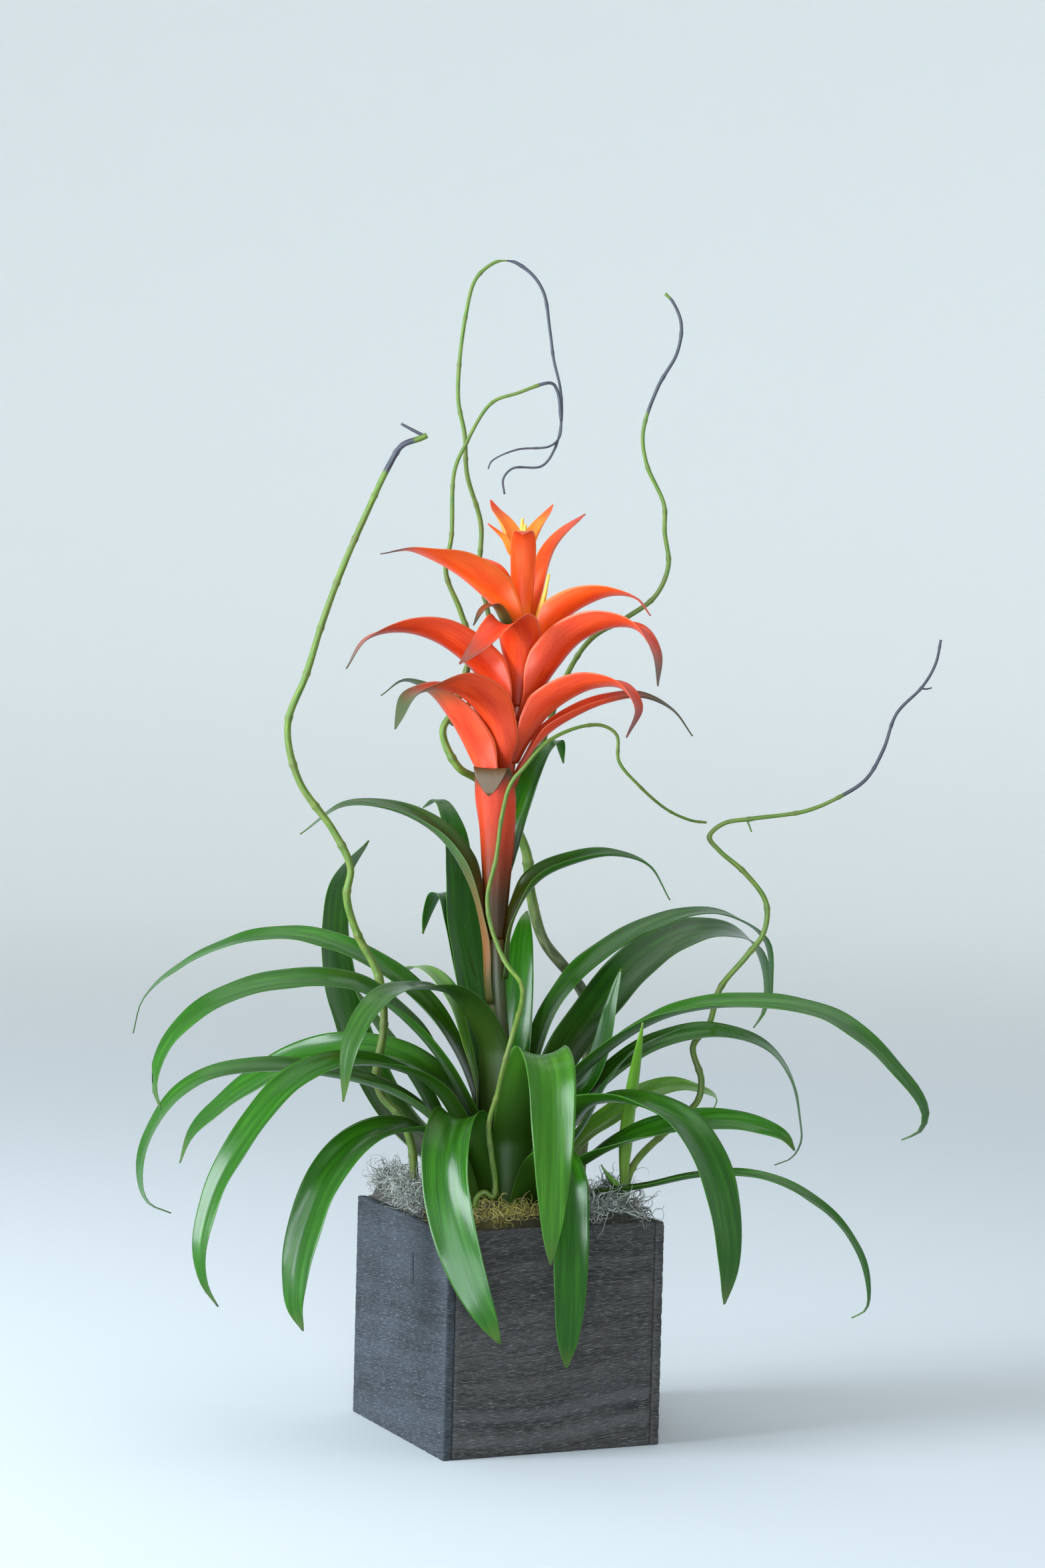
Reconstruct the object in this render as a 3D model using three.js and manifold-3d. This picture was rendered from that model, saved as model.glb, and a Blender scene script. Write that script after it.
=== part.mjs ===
// Potted bromeliad: a rosette of strap leaves and an orange flower spike, with curly vine
// stems and moss, standing in a weathered wooden cube planter. Millimetres, +Z up.
// The origin is the centre of the planter's underside, and its sides lie along X and Y.
import * as THREE from 'three';
import { mergeVertices, mergeGeometries } from 'three/addons/utils/BufferGeometryUtils.js';
import Module from 'manifold-3d';

const wasm = await Module();
wasm.setup();

// Driving dimensions of the planter
const SIDE = 152.4;
const HEIGHT = 145;
const BOARD = 6.5;
const BOTTOM = 8;
const JOINT = 0.15;
const EDGE = 0.8;
const GAP = 0.3;
const LINER_WALL = 1;
const LINER_TOP = 133;
const SOIL_TOP = 127;

// The plant is turned against the planter, so that its x runs to the right of someone who
// faces the planter's front left edge, and its y runs away from them.
const PLANT_TURN = -24.5;
const ROSETTE = { x: -3, y: 0 };
const LEAF_FOOT = SOIL_TOP + 0.5;
const LEAF_THICK = 0.8;
const SHEATH_STEP = 1.3;
const STEM_CLEAR = 0.5;
const BRACT_CLEAR = 0.45;
const SHEATH_FLARE = 0.03;

const rad = THREE.MathUtils.degToRad;
const smooth = THREE.MathUtils.smoothstep;
const lerp = THREE.MathUtils.lerp;

const part = new THREE.Group();
const plant = new THREE.Group();
plant.rotation.z = rad(PLANT_TURN);
part.add(plant);

const COLOUR = {
  wood: 0x4a4643, liner: 0x17191a, soil: 0x2c2118, greenMoss: 0x6f6a2c, greyMoss: 0x8b8c84,
  leaf: 0x1f5a24, youngLeaf: 0x5c8a2c, stem: 0x8c3a20, coral: 0xd2452a, orange: 0xe2622a,
  yellow: 0xe8a02c, vine: 0x67802f,
};

function finish(colour, roughness) {
  return new THREE.MeshStandardMaterial({ color: colour, roughness, metalness: 0 });
}

function piece(name, geometry, material, home = plant) {
  const mesh = new THREE.Mesh(geometry, material);
  mesh.name = name;
  home.add(mesh);
  return mesh;
}

// Solids: joining and cutting closed geometries

function toSolid(geometry) {
  const bare = geometry.clone();
  bare.deleteAttribute('normal');
  bare.deleteAttribute('uv');
  const welded = mergeVertices(bare, 1e-4);
  return new wasm.Manifold(new wasm.Mesh({
    numProp: 3,
    vertProperties: new Float32Array(welded.attributes.position.array),
    triVerts: new Uint32Array(welded.index.array),
  }));
}

function toGeometry(solid) {
  const mesh = solid.getMesh();
  const geometry = new THREE.BufferGeometry();
  geometry.setAttribute('position', new THREE.BufferAttribute(mesh.vertProperties, 3));
  geometry.setIndex(new THREE.BufferAttribute(mesh.triVerts, 1));
  return geometry;
}

function join(...geometries) {
  return toGeometry(geometries.map(toSolid).reduce((whole, next) => whole.add(next)));
}

function cut(geometry, ...tools) {
  return toGeometry(tools.map(toSolid).reduce((rest, tool) => rest.subtract(tool), toSolid(geometry)));
}

function box(width, depth, height, x, y, z) {
  return new THREE.BoxGeometry(width, depth, height).translate(x, y, z + height / 2);
}

function post(radius, x, y, bottom, top, sides = 12) {
  const height = top - bottom;
  return new THREE.CylinderGeometry(radius, radius, height, sides)
    .rotateX(Math.PI / 2).translate(x, y, bottom + height / 2);
}

// A closed skin over a grid of points: rows along it, columns around it. A ring closes on
// itself and the two ends are capped.
function tubeGeometry(rows) {
  const around = rows[0].length;
  const points = rows.flat();
  const faces = [];
  for (let i = 0; i + 1 < rows.length; i += 1) {
    for (let j = 0; j < around; j += 1) {
      const a = i * around + j;
      const b = i * around + (j + 1) % around;
      faces.push(a, b, b + around, a, b + around, a + around);
    }
  }
  const last = (rows.length - 1) * around;
  for (let j = 1; j + 1 < around; j += 1) {
    faces.push(0, j + 1, j, last, last + j, last + j + 1);
  }
  return meshOf(points, faces);
}

function meshOf(points, faces) {
  const geometry = new THREE.BufferGeometry();
  geometry.setFromPoints(points);
  geometry.setIndex(faces);
  return geometry;
}

// A round stem along a smooth route, with its radius given by a function of 0 to 1
function stalk(route, radius, steps, sides) {
  const curve = new THREE.CatmullRomCurve3(
    route.map(([x, y, z]) => new THREE.Vector3(x, y, z)), false, 'centripetal');
  const frames = curve.computeFrenetFrames(steps, false);
  const rows = [];
  for (let i = 0; i <= steps; i += 1) {
    const centre = curve.getPointAt(i / steps);
    const size = radius(i / steps);
    const ring = [];
    for (let j = 0; j < sides; j += 1) {
      const turn = (j / sides) * 2 * Math.PI;
      ring.push(centre.clone()
        .addScaledVector(frames.normals[i], size * Math.cos(turn))
        .addScaledVector(frames.binormals[i], size * Math.sin(turn)));
    }
    rows.push(ring);
  }
  return tubeGeometry(rows);
}

// Blades: a leaf's middle line is a smooth curve of [reach, height] points, swung to its
// azimuth round the stem. Near the stem the blade wraps round it as a sheath, and further
// out it is a channelled strap that narrows to its tip.

const LEAF_FORM = { wrapFrom: 26, wrapTo: 60, across: 3, channel: 0.1, broad: 0.35, taper: 4.5, tip: 1.2 };
const BRACT_FORM = { wrapFrom: 10, wrapTo: 26, across: 3, channel: 0.2, broad: 0.22, taper: 3.6, tip: 1.1 };

function bladeLine(blade) {
  const { axis, points } = blade;
  const profile = new THREE.CatmullRomCurve3(
    points.map(([reach, height]) => new THREE.Vector3(reach, 0, height)), false, 'centripetal');
  return (t) => {
    const at = profile.getPointAt(Math.min(Math.max(t, 0), 1));
    const turn = rad(blade.azimuth + (blade.sweep || 0) * t * t);
    const foot = axis(at.z, t);
    const inmost = points[0][0] + SHEATH_FLARE * (at.z - points[0][1]);
    const reach = t < 0.5 ? Math.max(at.x, inmost) : at.x;
    return { reach, height: at.z, turn, foot };
  };
}

function bladeWidth(blade, t) {
  const grown = lerp(blade.base, blade.width, smooth(t, 0, blade.form.broad));
  const narrowing = Math.pow(Math.max(1 - Math.pow(t, blade.form.taper), 0), 0.8);
  return Math.max(grown * narrowing, blade.form.tip);
}

function bladePoint(blade, line, t, q) {
  const here = line(t);
  const spot = ({ reach, height, turn, foot }) => new THREE.Vector3(
    foot.x + reach * Math.cos(turn), foot.y + reach * Math.sin(turn), height);
  const centre = spot(here);
  const along = spot(line(Math.min(t + 0.01, 1))).sub(spot(line(Math.max(t - 0.01, 0)))).normalize();
  const side = new THREE.Vector3(-Math.sin(here.turn), Math.cos(here.turn), 0);
  side.addScaledVector(along, -side.dot(along)).normalize();
  const up = new THREE.Vector3().crossVectors(along, side);
  const lean = (blade.lean || 0) * smooth(t, 0.05, 0.3) * (1 - 0.8 * smooth(t, 0.5, 0.85));
  const roll = rad((blade.roll || 0) * smooth(t, 0.15, 0.6) + lean);
  const half = bladeWidth(blade, t) / 2;
  const across = side.clone().multiplyScalar(Math.cos(roll)).addScaledVector(up, Math.sin(roll));
  const above = up.clone().multiplyScalar(Math.cos(roll)).addScaledVector(side, -Math.sin(roll));
  const depth = blade.form.channel * 2 * half * (1 - smooth(t, 0.35, 1)) * 2;
  const strap = centre.clone().addScaledVector(across, q * half).addScaledVector(above, depth * q * q);
  const wrapAngle = here.turn + THREE.MathUtils.clamp(q * half / here.reach, -1.9, 1.9);
  const sheath = new THREE.Vector3(
    here.foot.x + here.reach * Math.cos(wrapAngle), here.foot.y + here.reach * Math.sin(wrapAngle),
    here.height);
  return sheath.lerp(strap, smooth(here.reach, blade.form.wrapFrom, blade.form.wrapTo));
}

function bladeGeometry(blade) {
  const line = bladeLine(blade);
  const { across } = blade.form;
  const { steps } = blade;
  const points = [];
  for (let i = 0; i <= steps; i += 1) {
    for (let j = 0; j <= across; j += 1) {
      const t = i / steps;
      const q = (2 * j) / across - 1;
      const top = bladePoint(blade, line, t, q);
      const step = 0.01;
      const lengthwise = bladePoint(blade, line, Math.min(t + step, 1), q)
        .sub(bladePoint(blade, line, Math.max(t - step, 0), q));
      const crosswise = bladePoint(blade, line, t, q + 0.05).sub(bladePoint(blade, line, t, q - 0.05));
      const outward = lengthwise.cross(crosswise).normalize();
      points.push(top, top.clone().addScaledVector(outward, -LEAF_THICK));
    }
  }
  const row = across + 1;
  const top = (i, j) => 2 * (i * row + j);
  const under = (i, j) => top(i, j) + 1;
  const faces = [];
  for (let i = 0; i < steps; i += 1) {
    for (let j = 0; j < across; j += 1) {
      faces.push(top(i, j), top(i + 1, j), top(i + 1, j + 1), top(i, j), top(i + 1, j + 1), top(i, j + 1));
      faces.push(under(i, j), under(i + 1, j + 1), under(i + 1, j));
      faces.push(under(i, j), under(i, j + 1), under(i + 1, j + 1));
    }
    faces.push(top(i, 0), under(i, 0), top(i + 1, 0), top(i + 1, 0), under(i, 0), under(i + 1, 0));
    faces.push(top(i, across), top(i + 1, across), under(i, across));
    faces.push(top(i + 1, across), under(i + 1, across), under(i, across));
  }
  for (let j = 0; j < across; j += 1) {
    faces.push(top(0, j), top(0, j + 1), under(0, j), top(0, j + 1), under(0, j + 1), under(0, j));
    faces.push(top(steps, j), under(steps, j), top(steps, j + 1));
    faces.push(top(steps, j + 1), under(steps, j), under(steps, j + 1));
  }
  return meshOf(points, faces);
}

// Rosette leaves, from the innermost to the outermost: [name, azimuth, width, points, extras].
// Points are [reach, height] of the blade's middle line beyond its sheath.
const LEAVES = [
  ['leaf_upright_back', 80, 29, [[12, 215], [16, 245], [22, 272], [31, 298], [42, 320], [51, 332], [58, 336]]],
  ['leaf_tall_back', 125, 29, [[13, 200], [24, 245], [40, 280], [51, 306], [59, 332], [63, 362], [70, 390],
    [88, 408], [108, 402]]],
  ['leaf_folded_left', 225, 33, [[14, 190], [16, 235], [24, 263], [44, 285], [78, 294], [114, 290],
    [139, 263], [145, 226]]],
  ['leaf_right_high', 25, 27, [[14, 205], [20, 245], [34, 280], [64, 308], [105, 330], [150, 338],
    [189, 319], [196, 276]], { roll: 8 }],
  ['leaf_back_left_young', 142, 22, [[15, 198], [28, 243], [46, 278], [62, 293], [80, 298], [95, 291], [105, 277]]],
  ['leaf_left_thin', 160, 22, [[16, 190], [29, 235], [52, 268], [88, 296], [142, 315], [190, 312], [236, 292],
    [265, 267], [272, 243]], { roll: -24 }],
  ['leaf_left_high', 197, 30, [[17, 182], [33, 222], [64, 263], [102, 290], [151, 294], [195, 283], [224, 260],
    [235, 232], [230, 213]], { roll: -20 }],
  ['leaf_right_broad', 38, 36, [[18, 175], [30, 212], [49, 240], [74, 267], [102, 295], [140, 317], [184, 322],
    [213, 311], [225, 285], [223, 264], [214, 253]], { roll: 22 }],
  ['leaf_left_broad', 160, 28, [[22, 178], [36, 211], [69, 235], [108, 241], [146, 235], [178, 219], [206, 199],
    [227, 178], [235, 157]], { roll: -44, form: { taper: 6 } }],
  ['leaf_right_long', 337, 28, [[19, 170], [30, 204], [59, 243], [107, 277], [166, 290], [224, 284], [266, 254],
    [284, 230], [281, 218], [269, 211]], { roll: 14, steps: 16 }],
  ['leaf_right_upright', 11, 16, [[26, 185], [39, 210], [54, 229], [62, 251], [69, 285], [74, 303]],
    { roll: 50 }],
  ['leaf_left_front', 213, 25, [[23, 165], [34, 199], [65, 232], [121, 246], [160, 236], [193, 205], [216, 169],
    [225, 132], [221, 112], [211, 97]], { roll: -18, steps: 15 }],
  ['leaf_front_centre', 285, 34, [[20, 165], [33, 203], [55, 238], [80, 256], [100, 250], [112, 215],
    [117, 170], [116, 128]]],
  ['leaf_left_low', 190, 26, [[28, 164], [43, 196], [75, 220], [122, 233], [168, 236], [203, 228], [228, 204],
    [239, 170], [233, 149], [218, 142]], { roll: -14, steps: 16 }],
  ['leaf_right_arched', 12, 28, [[24, 159], [35, 187], [62, 224], [99, 251], [142, 260], [176, 250], [193, 229],
    [200, 202], [201, 188], [195, 177], [183, 172]], { roll: 14, steps: 16 }],
  ['leaf_right_dark', 350, 12, [[28, 160], [40, 184], [53, 205], [65, 230], [80, 250], [97, 261], [112, 268]]],
  ['leaf_right_front', 315, 33, [[34, 160], [49, 195], [73, 220], [117, 227], [158, 217], [184, 190], [196, 155],
    [198, 132], [195, 111]], { form: { taper: 8 } }],
  ['leaf_front_left', 236, 32, [[33, 165], [45, 190], [60, 211], [82, 197], [97, 172], [109, 140], [115, 118],
    [117, 98], [115, 78]], { sweep: 34, form: { taper: 6 } }],
  ['leaf_left_drooping', 220, 31, [[37, 157], [51, 184], [71, 200], [110, 200], [141, 181], [160, 150], [169, 117],
    [169, 96], [162, 81]], { roll: -12, form: { taper: 7 } }],
  ['leaf_back_left_tall', 138, 35, [[36, 156], [72, 172], [106, 193], [133, 225], [154, 265], [163, 308],
    [158, 350], [132, 378]]],
  ['leaf_right_low', 330, 29, [[35, 152], [49, 171], [67, 185], [93, 199], [123, 210], [156, 217], [186, 216],
    [202, 211], [209, 203]], { roll: 28 }],
  ['leaf_right_yellow', 30, 18, [[30, 150], [42, 170], [61, 189], [83, 203], [106, 216], [132, 221], [152, 217],
    [164, 210], [160, 200]], { roll: 30, form: { taper: 6 } }],
  ['leaf_front_hanging', 292, 24, [[40, 152], [52, 170], [66, 183], [86, 190], [104, 180], [111, 150], [114, 105],
    [112, 62]], { form: { taper: 9 } }],
  ['leaf_right_thin', 337, 13, [[38, 151], [60, 159], [97, 167], [138, 178], [181, 180], [220, 164], [243, 140],
    [251, 112], [249, 102], [240, 96]], { roll: 10, steps: 15 }],
];

// The stem: it stands in the soil, leans to the left and comes back below the bloom
const STEM = [[-3, 0, 95], [-3, 0, 190], [-12, 0, 300], [-13, 0, 370], [-7, 0, 440], [0, 0, 505], [-3, 0, 566]];
const STEM_TOP = 566;

function stemAt(height) {
  const route = new THREE.CatmullRomCurve3(
    STEM.map(([x, y, z]) => new THREE.Vector3(x, y, z)), false, 'centripetal');
  let low = 0;
  let high = 1;
  for (let i = 0; i < 30; i += 1) {
    const middle = (low + high) / 2;
    if (route.getPoint(middle).z < height) low = middle;
    else high = middle;
  }
  return route.getPoint((low + high) / 2);
}

function stemRadius(height) {
  if (height < 200) return lerp(8, 6.6, smooth(height, 100, 200));
  return lerp(6.6, 3, (height - 200) / (STEM_TOP - 200));
}

// Bracts and stem leaves, from the lowest to the highest:
// [name, colour, azimuth, width, foot height, points, extras]
const BRACTS = [
  ['stem_leaf_left', 'leaf', 172, 22, 280, [[10, 325], [20, 359], [40, 388], [70, 404], [104, 406], [133, 386]],
    { roll: -14 }],
  ['stem_leaf_right', 'leaf', 20, 18, 296, [[11, 335], [28, 360], [53, 372], [80, 377], [106, 370], [122, 347]],
    { roll: 12 }],
  ['bract_tube', 'coral', 255, 33, 322, [[8, 350], [11, 385], [14.5, 412], [18, 430], [21.5, 434],
    [24, 428], [25, 416]], { base: 14, form: { taper: 7, across: 5 } }],
  ['stem_leaf_hooked', 'leaf', 46, 22, 352, [[12, 378], [18, 394], [25, 409], [32, 426], [41, 444], [54, 451],
    [60, 436]], { base: 7 }],
  ['bract_low_left', 'coral', 188, 31, 405, [[13, 420], [20, 434], [29, 452], [39, 468], [52, 482], [69, 489],
    [84, 479]], { lean: 20 }],
  ['bract_long_right', 'coral', 8, 15, 420, [[11, 439], [24, 456], [43, 469], [63, 478], [86, 482], [107, 474],
    [121, 457]], { roll: 14 }],
  ['bract_low_front_left', 'coral', 221, 32, 428, [[12, 446], [18, 461], [29, 474], [47, 483], [68, 484],
    [87, 479], [98, 459]], { lean: 14 }],
  ['bract_low_right', 'coral', 336, 28, 437, [[11, 451], [20, 466], [36, 479], [56, 488], [76, 488], [87, 475],
    [80, 456]], { lean: -12 }],
  ['bract_middle_left', 'coral', 197, 30, 455, [[11, 470], [20, 488], [36, 504], [57, 517], [80, 521],
    [103, 515], [116, 496]], { lean: 26 }],
  ['bract_middle_front', 'coral', 268, 30, 474, [[7.5, 488], [12, 505], [20, 519], [32, 527], [44, 523],
    [54, 512], [60, 501]], { sweep: -40, form: { across: 5, broad: 0.35 } }],
  ['bract_middle_right', 'coral', 332, 30, 465, [[12, 480], [24, 500], [40, 517], [62, 527], [84, 526],
    [98, 511], [100, 490]], { lean: -16 }],
  ['bract_dark_small', 'coral', 225, 12, 486, [[8, 503], [12.5, 518], [20, 531], [28, 539], [38, 536], [46, 526]],
    { base: 6 }],
  ['bract_upper_right', 'orange', 347, 27, 492, [[9, 508], [17, 522], [28, 534], [42, 543], [58, 548], [74, 546],
    [84, 535]], { base: 9, lean: -24 }],
  ['bract_upper_left', 'orange', 208, 29, 511, [[9, 524], [17, 537], [31, 549], [47, 560], [65, 568],
    [84, 573], [104, 570]], { base: 9, lean: 20 }],
  ['bract_upper_front', 'orange', 270, 18, 526, [[6, 538], [8, 552], [11, 566], [14.5, 578], [20, 585],
    [27, 587], [33, 585]], { form: { taper: 7, broad: 0.35 } }],
  ['bract_upper_back', 'orange', 152, 21, 515, [[9, 534], [13, 545], [18, 555], [24, 563], [32, 568], [41, 570],
    [50, 569]], { base: 8, form: { broad: 0.35 } }],
  ['bract_upright_right', 'orange', 42, 20, 518, [[10, 540], [14, 552], [19, 565], [27, 580], [39, 592], [53, 601]],
    { base: 7, lean: -16, form: { broad: 0.35 } }],
];

const CROWN = [
  ['left', 140, 16, 562, [[8, 574], [12, 584], [17, 594], [23, 602], [27, 608]]],
  ['small', 205, 8, 562, [[8, 573], [13, 582], [19, 588], [24, 592]]],
  ['right', 45, 12, 562, [[7, 572], [11, 582], [16, 591], [22, 599], [28, 606]]],
];

// Each sheath wraps round those inside it, a step further out than any that it overlaps
function nestedRadii(leaves) {
  const placed = [];
  const apart = (a, b) => Math.abs(THREE.MathUtils.euclideanModulo(a - b + Math.PI, 2 * Math.PI) - Math.PI);
  for (const { azimuth, base } of leaves) {
    let radius = (stemRadius(LEAF_FOOT) + STEM_CLEAR + LEAF_THICK) / 0.9;
    for (let round = 0; round < 4; round += 1) {
      for (const inner of placed) {
        const reach = Math.min(base / 2 / radius, 1.9) + Math.min(inner.base / 2 / inner.radius, 1.9) + 0.1;
        const flat = Math.cos(Math.min(base / 2 / radius, 1.9) / LEAF_FORM.across);
        if (apart(rad(azimuth), inner.azimuth) < reach) {
          radius = Math.max(radius, (inner.radius + SHEATH_STEP) / flat);
        }
      }
    }
    placed.push({ azimuth: rad(azimuth), base, radius });
  }
  return placed.map(({ radius }) => radius);
}

function rosetteLeaf([name, azimuth, width, points, extras = {}], radius, base) {
  return {
    name, azimuth, width, base, steps: 13, ...extras,
    axis: () => ROSETTE,
    points: [[radius, LEAF_FOOT], ...points],
    form: { ...LEAF_FORM, ...extras.form },
  };
}

function stemBlade(azimuth, width, foot, points, extras = {}) {
  const form = { ...BRACT_FORM, ...extras.form };
  const room = stemRadius(foot) + BRACT_CLEAR;
  const base = extras.base || Math.min(width, 2.9 * room);
  const radius = room / Math.cos(base / (2 * form.across * room));
  const reachTop = foot + 20;
  const peak = 0.3;
  return {
    azimuth, width, steps: 10, ...extras, base, form,
    axis: (height, t) => stemAt(t > peak ? reachTop : Math.min(height, reachTop)),
    points: [[radius, foot], ...points],
  };
}

const SHEATH_WIDTH = 1;
const leafBases = LEAVES.map(([, azimuth, width]) => ({ azimuth, base: width * SHEATH_WIDTH }));
const radii = nestedRadii(leafBases);
const FUSED_LEAVES = {
  leaf_tall_back: ['', 131, 18, [[24.4, 246], [36, 268], [50, 300], [60, 328], [68, 345], [77, 346], [86, 333], [91, 318]]],
  leaf_back_left_tall: ['', 143, 16, [[41, 158], [52, 182], [66, 208], [90, 236], [113, 260], [132, 280]]],
};
LEAVES.forEach((leaf, i) => {
  const [name] = leaf;
  const main = bladeGeometry(rosetteLeaf(leaf, radii[i], leafBases[i].base));
  const twin = FUSED_LEAVES[name];
  const geometry = twin ? join(main, bladeGeometry({
    ...rosetteLeaf(twin, radii[i], 8), points: twin[3],
  })) : main;
  piece(name, geometry, finish(name.includes('young') || name.includes('yellow')
    ? COLOUR.youngLeaf : COLOUR.leaf, 0.35));
});

for (const [name, colour, azimuth, width, foot, points, extras] of BRACTS) {
  piece(name, bladeGeometry(stemBlade(azimuth, width, foot, points, extras)), finish(COLOUR[colour], 0.4));
}

// Stem with the single florets that stand in the axils of its bracts
function floret(azimuth, foot, reach, tip, thickness) {
  const start = stemAt(foot);
  const turn = rad(azimuth);
  const along = [[0.5, 0], [0.55, 0.4], [0.85, 0.75], [1, 1]];
  const route = along.map(([out, up]) => [
    start.x + reach * out * (up === 0 ? 0.2 : 1) * Math.cos(turn),
    start.y + reach * out * (up === 0 ? 0.2 : 1) * Math.sin(turn),
    lerp(foot, tip, up),
  ]);
  return stalk(route, (t) => thickness * (0.45 + 0.55 * Math.sin(Math.PI * Math.min(t * 1.15, 1))), 6, 6);
}

const stem = stalk(STEM, (t) => stemRadius(lerp(STEM[0][2], STEM_TOP, t)), 16, 10);
piece('flower_stem', join(stem, floret(334, 508, 17, 560, 2.2), floret(338, 505, 21, 543, 1.9),
  floret(175, 530, 12, 556, 1.7)), finish(COLOUR.stem, 0.45));

// Crown: three small bracts on one short receptacle, and three florets seated on it
const crownFoot = stemAt(STEM_TOP - 0.01);
const crown = [post(3.4, crownFoot.x, crownFoot.y, STEM_TOP + GAP, STEM_TOP + 7, 10)];
for (const [, azimuth, width, , points] of CROWN) {
  crown.push(bladeGeometry({
    azimuth, width, base: 5, steps: 7, axis: () => crownFoot,
    points: [[2.4, STEM_TOP + 2], ...points], form: { ...BRACT_FORM, wrapFrom: 4, wrapTo: 9 },
  }));
}
piece('crown_bracts', join(...crown), finish(COLOUR.yellow, 0.4));

const CROWN_FLORETS = [[200, 2.2, 588, 2.4], [330, 2.6, 592, 2.2], [80, 1.6, 596, 2]];
piece('crown_florets', join(
  post(2.6, crownFoot.x, crownFoot.y, STEM_TOP + 7 + GAP, STEM_TOP + 9.5, 8),
  ...CROWN_FLORETS.map(([azimuth, reach, tip, thickness]) => {
    const turn = rad(azimuth);
    const out = (share) => [crownFoot.x + reach * share * Math.cos(turn), crownFoot.y + reach * share * Math.sin(turn)];
    return stalk([[...out(0.3), STEM_TOP + 8], [...out(0.8), lerp(STEM_TOP + 8, tip, 0.5)], [...out(1), tip]],
      (t) => thickness * (0.35 + 0.65 * Math.sin(Math.PI * Math.min(0.2 + t * 0.78, 0.98))), 5, 6);
  })), finish(COLOUR.yellow, 0.4));

// Vines: stiff curly stems along routes of [x, y, z], each standing in a hole in the soil
const HOLE_BOTTOM = 84;
const VINE_LEFT = [[-62, 6, 85], [-62, 6, 150], [-65, 6, 184], [-72, 6, 202], [-85, 6, 216], [-89, 6, 230],
  [-85, 6, 260], [-87, 6, 287], [-93, 6, 303], [-104, 4, 323], [-111, 0, 347], [-109, 0, 366], [-121, 0, 390],
  [-144, 0, 422], [-152, 0, 458], [-141, 0, 490], [-131, 0, 525], [-119, 0, 560], [-103, 0, 599],
  [-90, 0, 628], [-82, 0, 641], [-70, 0, 646], [-66, 0, 648]];
const VINE_LEFT_TWIG = [[-67, 0, 647], [-75, 0, 651], [-83, 0, 655]];
const VINE_FRONT = [[-20, -62, 85], [-20, -62, 149], [-21, -62, 160], [-16, -62, 165], [-10, -62, 162],
  [-9, -62, 170], [-12, -64, 190], [-14, -66, 208], [-9, -73, 230], [-5, -82, 250], [0, -82, 270], [5, -62, 288],
  [4, -42, 297], [-7, -24, 310], [-16, -20, 331], [-19, -20, 350], [-14, -22, 376], [-11, -25, 403],
  [-6, -29, 424], [3, -31, 436], [17, -28, 452], [38, -20, 462], [53, -15, 463], [62, -13, 457],
  [64, -10, 440], [78, -4, 424], [96, 10, 409], [113, 28, 401], [124, 42, 399]];
const VINE_RIGHT = [[75, -10, 85], [75, -10, 125], [75, -10, 153], [81, 3, 175], [112, 34, 202], [124, 42, 214], [126, 45, 227],
  [120, 48, 249], [130, 50, 263], [137, 50, 288], [154, 50, 310], [165, 50, 326], [166, 50, 346],
  [152, 50, 365], [134, 50, 380], [127, 50, 389], [136, 50, 398], [156, 50, 402], [191, 50, 408],
  [213, 50, 418], [230, 50, 430], [241, 50, 450], [249, 50, 474], [266, 50, 493], [274, 50, 508], [277, 50, 524]];
const VINE_RIGHT_TWIGS = [[[151, 50, 402], [153, 50, 398], [155, 50, 393]], [[264, 50, 492], [268, 50, 491], [272, 50, 492]]];
const VINE_BACK = [[46, 47, 85], [46, 47, 125], [46, 47, 155], [49, 61, 195], [50, 69, 225], [51, 72, 265], [46, 68, 281], [35, 50, 297],
  [18, 40, 319], [9, 36, 350], [5, 36, 378], [-8, 34, 402], [-27, 24, 424], [-40, 15, 432], [-50, 15, 449],
  [-51, 15, 458], [-45, 16, 469], [-39, 20, 487], [-35, 22, 513], [-42, 22, 535], [-52, 20, 560],
  [-49, 20, 583], [-48, 20, 626], [-41, 20, 644], [-25, 20, 671], [-8, 20, 678], [14, 20, 685], [18, 21, 680],
  [21, 22, 661]];
const VINE_BACK_LOOP = [[-46, 15, 461], [-36, 22, 472], [-25, 28, 497], [-22, 32, 522], [-30, 36, 562], [-30, 36, 592],
  [-40, 30, 625], [-42, 27, 650], [-47, 26, 675], [-43, 26, 730], [-36, 26, 754], [-19, 26, 765], [-3, 26, 758],
  [7, 26, 745], [12, 26, 720], [15, 26, 701], [20, 25, 681], [21, 23, 660], [17, 23, 642], [9, 24, 631],
  [-10, 24, 629], [-16, 24, 622], [-15, 24, 612]];
const VINE_BACK_TWIG = [[21, 22, 663], [20, 22, 650], [14, 21, 644], [-8, 20, 641], [-24, 20, 633], [-26, 20, 628]];
const VINE_BACK_RIGHT = [[0, 35, 390], [8, 41, 425], [19, 44, 464], [32, 40, 500], [46, 34, 520], [67, 30, 533],
  [86, 30, 548], [94, 30, 568], [91, 30, 590], [90, 30, 608], [78, 30, 634], [75, 30, 655], [84, 30, 685],
  [96, 30, 708], [98, 30, 727], [92, 30, 741], [87, 30, 746]];

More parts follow.
